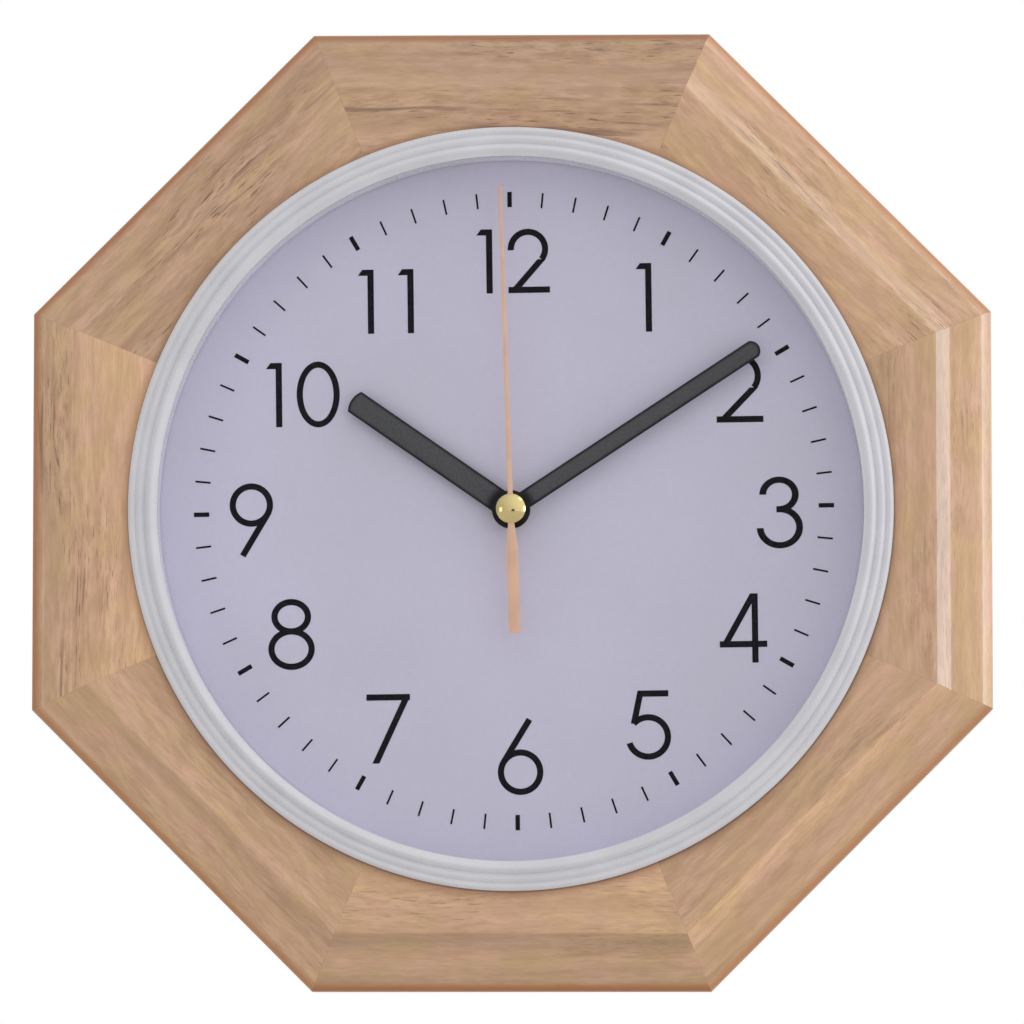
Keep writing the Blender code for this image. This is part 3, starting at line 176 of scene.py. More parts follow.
def along_side(side):
    """How far each direction of the room points to one side, from -1 to 1."""
    node = room.nodes.new("ShaderNodeVectorMath")
    node.operation = "DOT_PRODUCT"
    node.inputs[1].default_value = side.normalized()
    room.links.new(direction.outputs["Generated"], node.inputs[0])
    return node.outputs["Value"]


def ramp(value, low, high, new_low, new_high):
    node = room.nodes.new("ShaderNodeMapRange")
    limits = {"From Min": low, "From Max": high, "To Min": new_low, "To Max": new_high}
    for socket, limit in limits.items():
        node.inputs[socket].default_value = limit
    room.links.new(value, node.inputs["Value"])
    return node.outputs["Result"]


dimmest = ROOM_LIGHT * (1 - ROOM_LEAN)
brightest = ROOM_LIGHT * (1 + ROOM_LEAN)
bright = ramp(along_side(BRIGHT_SIDE), -1.0, 1.0, dimmest, brightest)
clear = ramp(along_side(DARK_SIDE), math.cos(DARK_REACH), math.cos(DARK_EDGE), 1.0, DARK_LEFT)
strength = room.nodes.new("ShaderNodeMath")
strength.operation = "MULTIPLY"
ray = room.nodes.new("ShaderNodeLightPath")
choice = room.nodes.new("ShaderNodeMixShader")
room.links.new(bright, strength.inputs[0])
room.links.new(clear, strength.inputs[1])
room.links.new(strength.outputs["Value"], glow.inputs["Strength"])
room.links.new(ray.outputs["Is Camera Ray"], choice.inputs["Fac"])
room.links.new(glow.outputs["Background"], choice.inputs[1])
room.links.new(backdrop.outputs["Background"], choice.inputs[2])
room.links.new(choice.outputs["Shader"], room.nodes["World Output"].inputs["Surface"])
print("room light", ROOM_LIGHT)

# %% Floor
FLOOR_DROP = 0.16
FLOOR_SIZE = 2.6

floor_height = cad_box[0][2] - FLOOR_DROP
bpy.ops.mesh.primitive_plane_add(size=FLOOR_SIZE, location=(0.0, 0.0, floor_height))
floor = bpy.context.object
floor.name = "floor"
print("floor at", round(floor_height, 3))


# %% Light panels
def light_panel(name, towards, distance, width, height, watts, colour=(1.0, 1.0, 1.0)):
    towards = Vector(towards).normalized()
    look = towards.to_track_quat("Z", "Y").to_euler()
    bpy.ops.object.light_add(type="AREA", location=aim + towards * distance, rotation=look)
    panel = bpy.context.object
    panel.name = name
    panel.data.shape = "RECTANGLE"
    panel.data.size = width
    panel.data.size_y = height
    panel.data.energy = watts
    panel.data.color = colour


light_panel("right_window", (0.976, -0.21, 0.05), 3.5, 0.6, 1.3, 8.8, (0.88, 0.98, 1.12))
light_panel("high_panel", (0.65, -0.165, 0.742), 3.0, 0.9, 0.9, 2.2)
light_panel("left_panel", (-0.82, -0.57, -0.05), 3.0, 0.8, 1.2, 3.0)
print("light panels:", [light.name for light in bpy.data.lights])

# %% [markdown]
# ## Helpers for modelling
#
# A few steps come back with every piece: changing the mode, starting an empty mesh, picking edges or
# faces by where they are, turning a piece round the hands' axis, and handing it to the frame. Each gets a
# short name. Picking by place is what a modeller does with the mouse, so those helpers take a small test
# on the middle of an edge or face.


# %% Modes and selection
POINTS = (True, False, False)
EDGES = (False, True, False)
FACES = (False, False, True)
POINTS_AND_EDGES = (True, True, False)


def edit_mode():
    bpy.ops.object.mode_set(mode="EDIT")


def object_mode():
    bpy.ops.object.mode_set(mode="OBJECT")


def deselect():
    bpy.ops.object.select_all(action="DESELECT")


def only(piece):
    deselect()
    piece.select_set(True)
    bpy.context.view_layer.objects.active = piece


def pick_all():
    bpy.ops.mesh.select_all(action="SELECT")


def pick_none():
    bpy.ops.mesh.select_all(action="DESELECT")


def pick_by(kinds):
    bpy.context.tool_settings.mesh_select_mode = kinds


def clear_picks(piece, kinds):
    object_mode()
    only(piece)
    pick_by(kinds)
    edit_mode()
    pick_none()
    object_mode()


def pick_edges(piece, test):
    clear_picks(piece, EDGES)
    points = piece.data.vertices
    for edge in piece.data.edges:
        first, last = [points[index].co for index in edge.vertices]
        edge.select = test((first + last) / 2)
    edit_mode()


def pick_faces(piece, test):
    clear_picks(piece, FACES)
    for face in piece.data.polygons:
        face.select = test(face.center, face.normal)
    edit_mode()


# %% Start, shape and hand over
WELD_REACH = 1e-6


def named(name):
    """The object that was just added or copied, under its own name."""
    piece = bpy.context.object
    piece.name = name
    piece.data.name = name
    return piece


def start_piece(name, kinds=POINTS):
    """An empty mesh in edit mode."""
    deselect()
    bpy.ops.mesh.primitive_plane_add(size=MM)
    piece = named(name)
    edit_mode()
    bpy.ops.mesh.delete(type="VERT")
    pick_by(kinds)
    return piece


def extrude(move):
    bpy.ops.mesh.extrude_region_move(TRANSFORM_OT_translate={"value": move})


def weld():
    pick_all()
    bpy.ops.mesh.remove_doubles(threshold=WELD_REACH)


def face_outwards():
    pick_all()
    bpy.ops.mesh.normals_make_consistent(inside=False)


def settle(piece):
    """Writes a piece's place, turn and scale into its mesh."""
    only(piece)
    bpy.ops.object.transform_apply(location=True, rotation=True, scale=True)


def turn(piece, angle):
    centre = Vector((0.0, 0.0, AXIS))
    piece.rotation_euler = (0.0, angle, 0.0)
    piece.location = centre - Matrix.Rotation(angle, 3, "Y") @ centre
    settle(piece)


def apply_modifier(piece, kind, **settings):
    only(piece)
    modifier = piece.modifiers.new(kind.title(), kind)
    for name, value in settings.items():
        setattr(modifier, name, value)
    bpy.ops.object.modifier_apply(modifier=modifier.name)


def round_edges(piece, width, segments, sharp):
    """A bevel on every edge that is sharper than an angle."""
    limits = {"limit_method": "ANGLE", "angle_limit": math.radians(sharp)}
    apply_modifier(piece, "BEVEL", width=width, segments=segments, **limits)


def hand_over(piece, body, nodes=(), smooth=35.0, flat_faces=False):
    if bpy.context.mode != "OBJECT":
        object_mode()
    only(piece)
    bpy.ops.object.shade_smooth_by_angle(angle=math.radians(smooth))
    if flat_faces:
        apply_modifier(piece, "WEIGHTED_NORMAL", keep_sharp=True)
    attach(piece, body)
    if nodes:
        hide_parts(*nodes)
    print(piece.name, "has", len(piece.data.polygons), "faces and rides on", body)


# %% [markdown]
# ## The wooden rails
#
# The frame is eight rails with mitred ends. From the outside in, a rail has a rounded and chamfered edge,
# a sloping band, a steep bevel that steps up, and a flat inner face with a stepped round opening for dial
# and back plate. A joiner runs the moulding along a board, saws the mitres and cuts the opening, and that
# works in Blender too: the section is drawn point by point, extruded to a board, cut with Bisect and
# opened with Boolean. Only one rail is modelled. The others are copies of it, turned by 45 degrees each,
# and only the upper one gets the recess for its hanging plate.

# %% Sizes of a rail
EDGE_ROUND = 2.8 * MM
EDGE_LEAN = math.radians(50)
CHAMFER = 2.5 * MM
CHAMFER_RISE = 2.1 * MM
BAND = 13.0 * MM
BAND_RISE = 2.9 * MM
BEVEL = 5.0 * MM
BEVEL_RISE = 4.2 * MM
FACE_FALL = 0.4 * MM
SAW_GAP = 0.02 * MM
RIDGE_ROUND = 0.6 * MM
HALF_CORNER = math.pi / 8
EDGE_STEPS = 5
FACE_WIDTH = 19 * MM
SPARE = 10 * MM
OVERCUT = 5 * MM
PLATE_ROOM = 0.5 * MM
SEAT_GAP = 0.3 * MM

rail_low, rail_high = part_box("frame_rail_top")
FRAME_REACH = rail_high.z - AXIS
RIDGE = -rail_low.y
SIDE = RIDGE - BEVEL_RISE - BAND_RISE
OPENING = (rail_low.z - AXIS) / math.cos(HALF_CORNER)
PLATE_REBATE = radius_of("back_plate") + PLATE_ROOM
REBATE_HEIGHT = heights("back_plate")[1] + SEAT_GAP
print("opening", round(OPENING / MM, 2), "ridge", round(RIDGE / MM, 2), "mm")


# %% Draw the section and run the board
def draw_line(spots):
    """One point, then Extrude from spot to spot."""
    pick_none()
    bpy.ops.mesh.primitive_plane_add(size=MM, location=spots[0])
    bpy.ops.mesh.merge(type="CENTER")
    for last, spot in zip(spots, spots[1:]):
        bpy.ops.mesh.extrude_vertices_move(TRANSFORM_OT_translate={"value": spot - last})


inner_edge = OPENING * math.cos(HALF_CORNER) - SPARE
edge_start = SIDE - CHAMFER_RISE - EDGE_ROUND * math.sin(EDGE_LEAN)
ridge = FRAME_REACH - BAND - BEVEL
section = [(inner_edge, 0.0), (FRAME_REACH, 0.0)]
for step in range(EDGE_STEPS + 1):
    lean = EDGE_LEAN * step / EDGE_STEPS
    up = FRAME_REACH - EDGE_ROUND * (1 - math.cos(lean))
    section.append((up, edge_start + EDGE_ROUND * math.sin(lean)))
section.append((section[-1][0] - CHAMFER, SIDE))
section.append((FRAME_REACH - BAND, SIDE + BAND_RISE))
section.append((ridge, RIDGE))
section.append((inner_edge, RIDGE - FACE_FALL * (ridge - inner_edge) / FACE_WIDTH))
half_board = FRAME_REACH / 2
rail = start_piece("rail_pattern")
draw_line([place(-half_board, up, height) for up, height in section])
pick_all()
bpy.ops.mesh.edge_face_add()
extrude((2 * half_board, 0.0, 0.0))
face_outwards()
object_mode()
round_edges(rail, RIDGE_ROUND, 3, 18)
print("board has", len(rail.data.polygons), "faces")


# %% Saw the mitres
CUT_REACH = 1e-7


def cut_away(point, direction):
    pick_all()
    bpy.ops.mesh.bisect(
        plane_co=point,
        plane_no=direction,
        use_fill=True,
        clear_outer=True,
        threshold=CUT_REACH,
    )


only(rail)
edit_mode()
for side in (-1, 1):
    mitre = Vector((side * math.cos(HALF_CORNER), 0.0, -math.sin(HALF_CORNER)))
    cut_away(place(0.0, 0.0, 0.0) - mitre * SAW_GAP / 2, mitre)
object_mode()
print("mitred rail has", len(rail.data.polygons), "faces")


# %% Cut the stepped opening
ROUND_STEPS = 256


def disc_cutter(radius, low, high):
    deselect()
    bpy.ops.mesh.primitive_cylinder_add(
        vertices=ROUND_STEPS,
        radius=radius,
        depth=high - low,
        location=place(0.0, 0.0, (low + high) / 2),
        rotation=(math.pi / 2, 0.0, 0.0),
    )
    cutter = bpy.context.object
    settle(cutter)
    return cutter


def cut_with(piece, cutter):
    apply_modifier(piece, "BOOLEAN", object=cutter, operation="DIFFERENCE", solver="EXACT")
    bpy.data.objects.remove(cutter)


cut_with(rail, disc_cutter(OPENING, -OVERCUT, RIDGE + OVERCUT))
cut_with(rail, disc_cutter(PLATE_REBATE, -OVERCUT, REBATE_HEIGHT))
print("cut rail has", len(rail.data.polygons), "faces")

# %% [markdown]
# ## Copies of the rail, and the direction of their grain
#
# Wood grain runs along each rail, so the finish needs to know that direction on every copy. The pattern
# rail still lies straight, so its own coordinates are written on its points as an attribute before the
# copy is turned: along the rail, distance from the hands' axis, and height. Each copy shifts the first
# number, as if it were sawn from another part of the board. Each rail also carries how pale it is at its
# inner side, where boards differ, and at its outer side, where the number also holds painted light and
# shade; how much painted shade darkens its outer edge; how much paler (painted light) or darker (painted
# shade) its bevel is; and how strong its pores are.

# %% Recess for the hanging plate
RECESS_MARGIN = 0.1 * MM
RECESS_DEPTH = heights("hanger_plate")[1] + RECESS_MARGIN
RECESS_CORNER = 3.1 * MM
POCKET_HALF_WIDTH = 6.1 * MM
POCKET_LOW = -13.1 * MM
POCKET_HIGH = 3.9 * MM
POCKET_DEPTH = 8.2 * MM
POCKET_CORNER = 1.0 * MM


def block_cutter(middle, size, angle=0.0):
    """A block of a given size, turned about a line towards the wall."""
    deselect()
    bpy.ops.mesh.primitive_cube_add(size=1.0, location=middle, rotation=(0.0, angle, 0.0), scale=size)
    cutter = bpy.context.object
    settle(cutter)
    return cutter


def pocket_cutter(left, right, low, high, depth, corner):
    """A block with rounded corners, half in the wood and half behind it."""
    middle = ((left + right) / 2, 0.0, (low + high) / 2)
    cutter = block_cutter(middle, (right - left, 2 * depth, high - low))
    pick_edges(cutter, lambda spot: abs(spot.y) < depth / 2)
    bpy.ops.mesh.bevel(offset=corner, segments=8, affect="EDGES")
    object_mode()
    return cutter


# %% How the boards differ, with painted light and shade
# Each board: how pale it is inside and outside, the outside also painted light and shade; painted shade on
# the outer edge; painted light (above 0) and painted shade (below 0) on the bevel; pore strength.
Board = namedtuple("Board", "inside outside stain bevel pores")
BOARDS = {
    "top": Board(0.93, 0.77, 1.0, 0.0, 1.6),
    "top_right": Board(1.05, 1.06, 0.8, -0.03, 1.6),
    "right": Board(0.95, 1.15, 0.0, -0.08, 0.8),
    "bottom_right": Board(0.98, 1.03, 0.7, 0.22, 0.6),
    "bottom": Board(1.16, 0.86, 1.0, -0.16, 1.0),
    "bottom_left": Board(1.03, 0.98, 0.8, -0.05, 0.5),
    "left": Board(1.25, 0.91, 0.9, 0.09, 1.6),
    "top_left": Board(0.92, 0.89, 1.0, 0.06, 2.0),
}
BOARD_STEP = 0.731
BEZEL_EDGE = radius_of("bezel")


def write_board(piece, board, shift):
    layers = piece.data.attributes
    layers.new("grain", "FLOAT_VECTOR", "POINT")
    for name in ("pale", "stain", "bevel", "pores"):
        layers.new(name, "FLOAT", "POINT")
    # pale is the board's tone with painted light and shade towards the outside; the edge number is painted
    # shade and the bevel number painted light and shade.
    for number, point in enumerate(piece.data.vertices):
        across = point.co.z - AXIS
        share = (across - BEZEL_EDGE) / (FRAME_REACH - BEZEL_EDGE)
        layers["grain"].data[number].vector = (point.co.x + shift, across, -point.co.y)
        layers["pale"].data[number].value = board.inside + (board.outside - board.inside) * share
        layers["stain"].data[number].value = board.stain
        layers["bevel"].data[number].value = board.bevel
        layers["pores"].data[number].value = board.pores


# %% Eight rails
rails = []
for number, (name, board) in enumerate(BOARDS.items()):
    only(rail)
    bpy.ops.object.duplicate()
    copy = named("rail_" + name)
    if name == "top":
        low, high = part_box("hanger_plate")
        sides = (low.x - RECESS_MARGIN, high.x + RECESS_MARGIN)
        ends = (low.z - RECESS_MARGIN, high.z + RECESS_MARGIN)
        pocket = (-POCKET_HALF_WIDTH, POCKET_HALF_WIDTH, POCKET_LOW, POCKET_HIGH)
        cut_with(copy, pocket_cutter(*sides, *ends, RECESS_DEPTH, RECESS_CORNER))
        cut_with(copy, pocket_cutter(*pocket, POCKET_DEPTH, POCKET_CORNER))
    write_board(copy, board, (number + 1) * BOARD_STEP)
    turn(copy, number * math.pi / 4)
    hand_over(copy, "case", ["frame_rail_" + name], smooth=30.0, flat_faces=True)
    rails.append(copy)
bpy.data.objects.remove(rail)

# %% [markdown]
# ## Finishes
#
# Each finish is one material on the Principled shader, with noise for what the real surface shows: a
# slight change of colour, of gloss and of height. The helpers below only add nodes and wire them. A value
# that is the same all over is set on the shader itself.


# %% Node helpers
class Finish:
    """One material with its nodes, ready to be wired."""

    def __init__(self, name, **settings):
        self.material = bpy.data.materials.new(name)
        self.material.use_nodes = True
        self.nodes = self.material.node_tree.nodes
        self.links = self.material.node_tree.links
        self.shader = self.nodes["Principled BSDF"]
        for socket, value in settings.items():
            title = socket.replace("_", " ").title().replace("Ior", "IOR")
            self.shader.inputs[title].default_value = value

    def add(self, kind, vector=None, **values):
        """A new node with its numbers set, fed with a vector."""
        node = self.nodes.new("ShaderNode" + kind)
        for socket, value in values.items():
            node.inputs[socket.replace("_", " ").title()].default_value = value
        if vector is not None:
            self.links.new(vector, node.inputs["Vector"])
        return node

    def stretch(self, vector, scale):
        return self.add("Mapping", vector, scale=scale).outputs["Vector"]

    def place(self, scale, attribute=None):
        """Object coordinates, or an attribute's, stretched by a scale for each axis."""
        if attribute is None:
            return self.stretch(self.add("TexCoord").outputs["Object"], scale)
        source = self.add("Attribute")
        source.attribute_name = attribute
        return self.stretch(source.outputs["Vector"], scale)

    def split(self, vector):
        """The three numbers of a vector, by the name of their axis."""
        return self.add("SeparateXYZ", vector).outputs

    def sway(self, vector, scale, reach):
        """Coordinates that wander to and fro with a slow noise, by a reach for each axis."""
        drift = self.noise(self.stretch(vector, scale), 1.0).node
        node = self.add("VectorMath")
        node.operation = "MULTIPLY_ADD"
        node.inputs[1].default_value = reach
        self.links.new(drift.outputs["Color"], node.inputs[0])
        self.links.new(vector, node.inputs[2])
        return node.outputs["Vector"]

    def amount(self, attribute):
        """One number for each point, from an attribute."""
        node = self.add("Attribute")
        node.attribute_name = attribute
        return node.outputs["Fac"]

    def from_axis(self):
        """The distance from the hands' axis."""
        mapping = self.place((1, 0, 1))
        mapping.node.inputs["Location"].default_value = (0.0, 0.0, -AXIS)
        node = self.add("VectorMath", mapping)
        node.operation = "LENGTH"
        return node.outputs["Value"]

    def noise(self, vector, detail=2.0, roughness=0.5, warp=0.0):
        values = {"scale": 1.0, "detail": detail, "roughness": roughness, "distortion": warp}
        return self.add("TexNoise", vector, **values).outputs["Fac"]

    def spots(self, fineness, detail=2.0, **settings):
        """Noise that is as fine along every axis: so many spots to the metre."""
        return self.noise(self.place((fineness, fineness, fineness)), detail, **settings)

    def remap(self, value, low, high, new_low=0.0, new_high=1.0):
        node = self.add("MapRange", from_min=low, from_max=high, to_min=new_low, to_max=new_high)
        node.interpolation_type = "SMOOTHSTEP"
        self.links.new(value, node.inputs["Value"])
        return node.outputs["Result"]

    def blend(self, value, limits, first, second, most=1.0):
        """Turns from one colour to another while a value runs between two limits."""
        return self.mix(self.remap(value, *limits, 0.0, most), first, second)

    def mix(self, factor, first, second, blend="MIX"):
        """Mixes two colours. Each is a socket or three numbers."""
        node = self.add("Mix")
        node.data_type = "RGBA"
        node.blend_type = blend
        if isinstance(factor, float):
            node.inputs[0].default_value = factor
        else:
            self.links.new(factor, node.inputs[0])
        for socket, colour in ((node.inputs[6], first), (node.inputs[7], second)):
            if isinstance(colour, tuple):
                socket.default_value = (*colour, 1.0)
            else:
                self.links.new(colour, socket)
        return node.outputs[2]

    def math(self, operation, first, second):
        node = self.add("Math")
        node.operation = operation
        for socket, value in zip(node.inputs, (first, second)):
            if isinstance(value, float):
                socket.default_value = value
            else:
                self.links.new(value, socket)
        return node.outputs["Value"]

    def product(self, first, *others):
        for other in others:
            first = self.math("MULTIPLY", first, other)
        return first

    def bump(self, height, distance):
        node = self.add("Bump", distance=distance, strength=1.0)
        self.links.new(height, node.inputs["Height"])
        self.links.new(node.outputs["Normal"], self.shader.inputs["Normal"])

    def wire(self, socket, value):
        self.links.new(value, self.shader.inputs[socket])


def paint(finish, *pieces):
    for piece in pieces:
        piece.data.materials.clear()
        piece.data.materials.append(finish.material)


def shade(red, green, blue):
    """A colour as a picture editor shows it, from 0 to 255, in the linear values that nodes use."""
    return tuple(((part / 255 + 0.055) / 1.055) ** 2.4 for part in (red, green, blue))


# %% [markdown]
# ## The varnished wood
#
# The wood is pale and warm. Patches turn from pink to olive, soft bands, a finer figure and thin fibres
# follow the rail, and darker streaks and short pores lie in groups. Noise gives all of these: its scale
# along the grain is many times smaller than across it, so that spots become streaks, and a slow drift of
# the coordinates bends the grain a little. The outer edge is darkened with warm painted shade, a narrow
# ring beside the bezel with a painted shadow, and the bevels are painted a little paler or darker than
# the faces beside them as painted light and shade. A coat of varnish lies on top, and the pores are sunk.

# %% Wood tones
wood = Finish("varnished_pale_wood", coat_weight=1.0, coat_roughness=0.13, coat_ior=1.55)
grain = wood.sway(wood.place((1, 1, 1), "grain"), (13, 26, 26), (0.0, 7 * MM, 7 * MM))


def along_grain(along, across, detail, **settings):
    """Noise drawn out along the grain: so many spots to the metre along it and across it."""
    return wood.noise(wood.stretch(grain, (along, across, across)), detail, **settings)


patches = along_grain(55, 115, 2.0)
bands = along_grain(7, 170, 3.0, warp=0.5)
figure = along_grain(105, 420, 3.0, roughness=0.6)
fibres = along_grain(200, 1700, 3.0, roughness=0.6)
groups = along_grain(16, 60, 1.0)
tone = wood.blend(patches, (0.35, 0.65), shade(246, 197, 161), shade(238, 196, 144))
tone = wood.blend(bands, (0.35, 0.70), tone, shade(204, 158, 121), 0.5)
grouped = wood.remap(groups, 0.35, 0.65, 0.35, 0.7)
marked = wood.remap(wood.amount("pores"), 0.5, 2.0, 0.75, 1.1)
figure = wood.product(wood.remap(figure, 0.36, 0.68), grouped, marked)
tone = wood.mix(figure, tone, shade(196, 149, 112))
tone = wood.blend(fibres, (0.35, 0.75), tone, shade(192, 145, 107), 0.3)

# %% Streaks and pores
gathered = wood.product(wood.remap(groups, 0.44, 0.64, 0.1, 1.0), wood.amount("pores"))
streaks = wood.remap(along_grain(14, 520, 2.0), 0.58, 0.74, 0.0, 0.55)
tone = wood.mix(wood.product(streaks, gathered), tone, shade(150, 108, 80))
pores = wood.product(wood.remap(along_grain(170, 2000, 1.0), 0.60, 0.74), gathered)
tone = wood.mix(wood.product(pores, 0.5), tone, shade(138, 97, 70))

# %% Painted shade and light, and varnish
apart = wood.split(wood.place((1, 1, 1), "grain"))
# Warm painted shade on the outer edge, scaled by each board's edge number.
at_edge = wood.remap(apart["Y"], FRAME_REACH - 3.6 * MM, FRAME_REACH - 0.6 * MM, 0.0, 0.95)
at_front = wood.remap(apart["Z"], SIDE - 8 * MM, SIDE - 3 * MM)
tone = wood.mix(wood.product(at_edge, at_front, wood.amount("stain")), tone, shade(200, 118, 36))
# Painted shadow beside the bezel: a wider soft ring, then a narrow dark line at its foot.
from_axis = wood.from_axis()
tone = wood.blend(from_axis, (BEZEL_EDGE + 3.2 * MM, BEZEL_EDGE), tone, shade(178, 122, 80), 0.5)
tone = wood.blend(from_axis, (BEZEL_EDGE + 0.9 * MM, BEZEL_EDGE), tone, shade(106, 68, 44), 0.6)
# Painted light and shade on the bevel: paler or darker by each board's bevel number.
on_bevel = wood.remap(apart["Y"], ridge - 0.2 * MM, ridge + 0.3 * MM)
past_bevel = wood.remap(apart["Y"], ridge + 2.5 * MM, ridge + 7 * MM, 1.0, 0.0)
painted_bevel_light = wood.product(on_bevel, past_bevel, wood.amount("bevel"))
# pale multiplies the tone: the board's paleness, its painted light and shade towards the outside, and the
# bevel's painted light and shade.
pale = wood.product(wood.math("ADD", painted_bevel_light, 1.0), wood.amount("pale"))
wood.wire("Base Color", wood.mix(1.0, tone, pale, "MULTIPLY"))
wood.wire("Roughness", wood.remap(fibres, 0.25, 0.75, 0.42, 0.58))
wood.bump(wood.math("ADD", pores, wood.product(fibres, 0.4)), -0.02 * MM)
paint(wood, *rails)
print("painted", len(rails), "rails")

# %% [markdown]
# ## The ribbed bezel
#
# A white moulded ring holds the glass. Its front falls away from the glass in three rounded beads, each
# smaller than the one before. A ring like this is a profile that goes once round, so the profile is drawn
# point by point with Extrude and then spun about the hands' axis.


# %% Spin a profile
def spun_piece(name, profile, steps=ROUND_STEPS, beside=(0.0, 0.0)):
    """Spins a profile of (radius, height) points about the hands' axis, or about a line beside it."""
    across, up = beside
    piece = start_piece(name)
    draw_line([place(across, up + radius, height) for radius, height in profile])
    pick_all()
    centre = place(across, up, 0.0)
    bpy.ops.mesh.spin(steps=steps, angle=2 * math.pi, center=centre, axis=TO_WALL, use_auto_merge=True)
    weld()
    face_outwards()
    object_mode()
    return piece


# %% Bezel
BEZEL_WIDTH = 9.2 * MM
LIP_THICKNESS = 0.4 * MM
BEAD_FALL = 1.6 * MM
BEAD_EDGES = (0.0, 0.43, 0.74, 1.0)
BEAD_RISES = (1.7 * MM, 1.0 * MM, 0.8 * MM)
BEAD_LEANS = (1.4, 1.1, 1.1)
BEAD_POINTS = 12
SKIRT_OUTSIDE = 5.3 * MM
SKIRT_INSIDE = 6.8 * MM
GLUE_GAP = 0.1 * MM

lip_radius = BEZEL_EDGE - BEZEL_WIDTH
lip_back = heights("glass")[1] + GLUE_GAP
lip_front = lip_back + LIP_THICKNESS
bezel_back = RIDGE + SEAT_GAP
skirt_back = heights("bezel")[0]
profile = [(lip_radius, lip_back), (lip_radius, lip_front)]
for start, end, rise, lean in zip(BEAD_EDGES, BEAD_EDGES[1:], BEAD_RISES, BEAD_LEANS):
    for step in range(1, BEAD_POINTS + 1):
        part = step / BEAD_POINTS
        along = start + (end - start) * part
        height = lip_front - BEAD_FALL * along + rise * math.sin(math.pi * part**lean)
        profile.append((lip_radius + BEZEL_WIDTH * along, height))
profile.append((BEZEL_EDGE, bezel_back))
profile.append((BEZEL_EDGE - SKIRT_OUTSIDE, bezel_back))
profile.append((BEZEL_EDGE - SKIRT_OUTSIDE, skirt_back))
profile.append((BEZEL_EDGE - SKIRT_INSIDE, skirt_back))
profile.append((BEZEL_EDGE - SKIRT_INSIDE, lip_back))
profile.append(profile[0])
bezel = spun_piece("bezel_ring", profile)
hand_over(bezel, "case", ["bezel"], smooth=40.0)

# %% Spacer ring behind the glass
SPACER_WALL = 2.0 * MM

low, high = heights("spacer_ring")
outer = radius_of("spacer_ring")
inner = outer - SPACER_WALL
profile = [(inner, low), (outer, low), (outer, high), (inner, high), (inner, low)]
spacer = spun_piece("glass_spacer", profile)
hand_over(spacer, "case", ["spacer_ring"])


# %% White plastic finish
def moulded_plastic(name, colour, gloss, variation=0.06):
    """Moulded plastic: a faint cloudiness, a fine mould texture and uneven gloss."""
    finish = Finish(name)
    grain = finish.spots(2600)
    darker = tuple(part * (1 - 2 * variation) for part in colour)
    finish.wire("Base Color", finish.blend(finish.spots(60), (0.3, 0.7), colour, darker))
    finish.wire("Roughness", finish.remap(grain, 0.3, 0.7, gloss, gloss + 0.12))
    finish.bump(grain, 0.004 * MM)
    return finish


white_plastic = moulded_plastic("white_moulded_plastic", shade(239, 238, 242), 0.24, 0.03)
paint(white_plastic, bezel, spacer)

# %% [markdown]
# ## Glass and dial
#
# The glass is flat and clear. A fully refracting shader would throw the dial into shade, because lamps do
# not shine through it without caustics, so nearly all of the glass is simply see-through. The small rest
# barely bends the light, because a bent share would show every numeral twice from the side. The dial is a
# printed sheet of a slightly lilac white.

# %% Glass finish
glass = Finish("clear_flat_glass", transmission_weight=1.0, alpha=0.12, ior=1.03)
smears = glass.spots(18, 3.0)
glass.wire("Roughness", glass.remap(smears, 0.35, 0.75, 0.0, 0.03))
paint(glass, frame["nodes"]["glass"])

# %% Dial finish
dial_sheet = Finish("printed_dial_sheet", roughness=0.6)
fleck = dial_sheet.spots(900, 3.0)
cloud = dial_sheet.spots(14, 3.0)
sheet_tone = dial_sheet.blend(cloud, (0.3, 0.7), shade(226, 222, 244), shade(221, 217, 236))
sheet_tone = dial_sheet.blend(fleck, (0.3, 0.7), sheet_tone, shade(200, 196, 214), 0.12)
dial_sheet.wire("Base Color", sheet_tone)
dial_sheet.bump(fleck, 0.006 * MM)
paint(dial_sheet, frame["nodes"]["dial"])

# %% [markdown]
# ## Numerals and ticks
#
# The numerals are light, even strokes with square ends, built from straight lines and parts of circles. A
# font would need a file from outside, so each numeral is drawn as a sign writer does it, with a flat nib:
# a short edge is the nib, Extrude draws a straight stroke with it, and Spin draws a bowl. The ink lies on
# the dial.

# %% The nib
NIB = 1.95 * MM
INK_HEIGHT = DIAL_FRONT + 0.01 * MM
INK_THICKNESS = 0.04 * MM
ARC_STEP = math.radians(5)
FLAT = (math.pi / 2, 0.0, 0.0)


def on_dial(x, y):
    return place(x, y, INK_HEIGHT)


def set_nib(start, end):
    draw_line([on_dial(*start), on_dial(*end)])
    bpy.ops.mesh.select_more()


def pull_nib(x, y):
    bpy.ops.mesh.extrude_edges_move(TRANSFORM_OT_translate={"value": (x, 0.0, y)})


def bar(start, end):
    """A straight stroke with ends cut square."""
    run = Vector(end) - Vector(start)
    side = Vector((-run.y, run.x)).normalized() * NIB / 2
    set_nib(Vector(start) - side, Vector(start) + side)
    pull_nib(*run)


def slash(start, end):
    """A slanting stroke with ends cut level. Start and end are the middles of the two cuts."""
    run = Vector(end) - Vector(start)
    level = Vector((NIB * run.length / abs(run.y) / 2, 0.0))
    set_nib(Vector(start) - level, Vector(start) + level)
    pull_nib(*run)


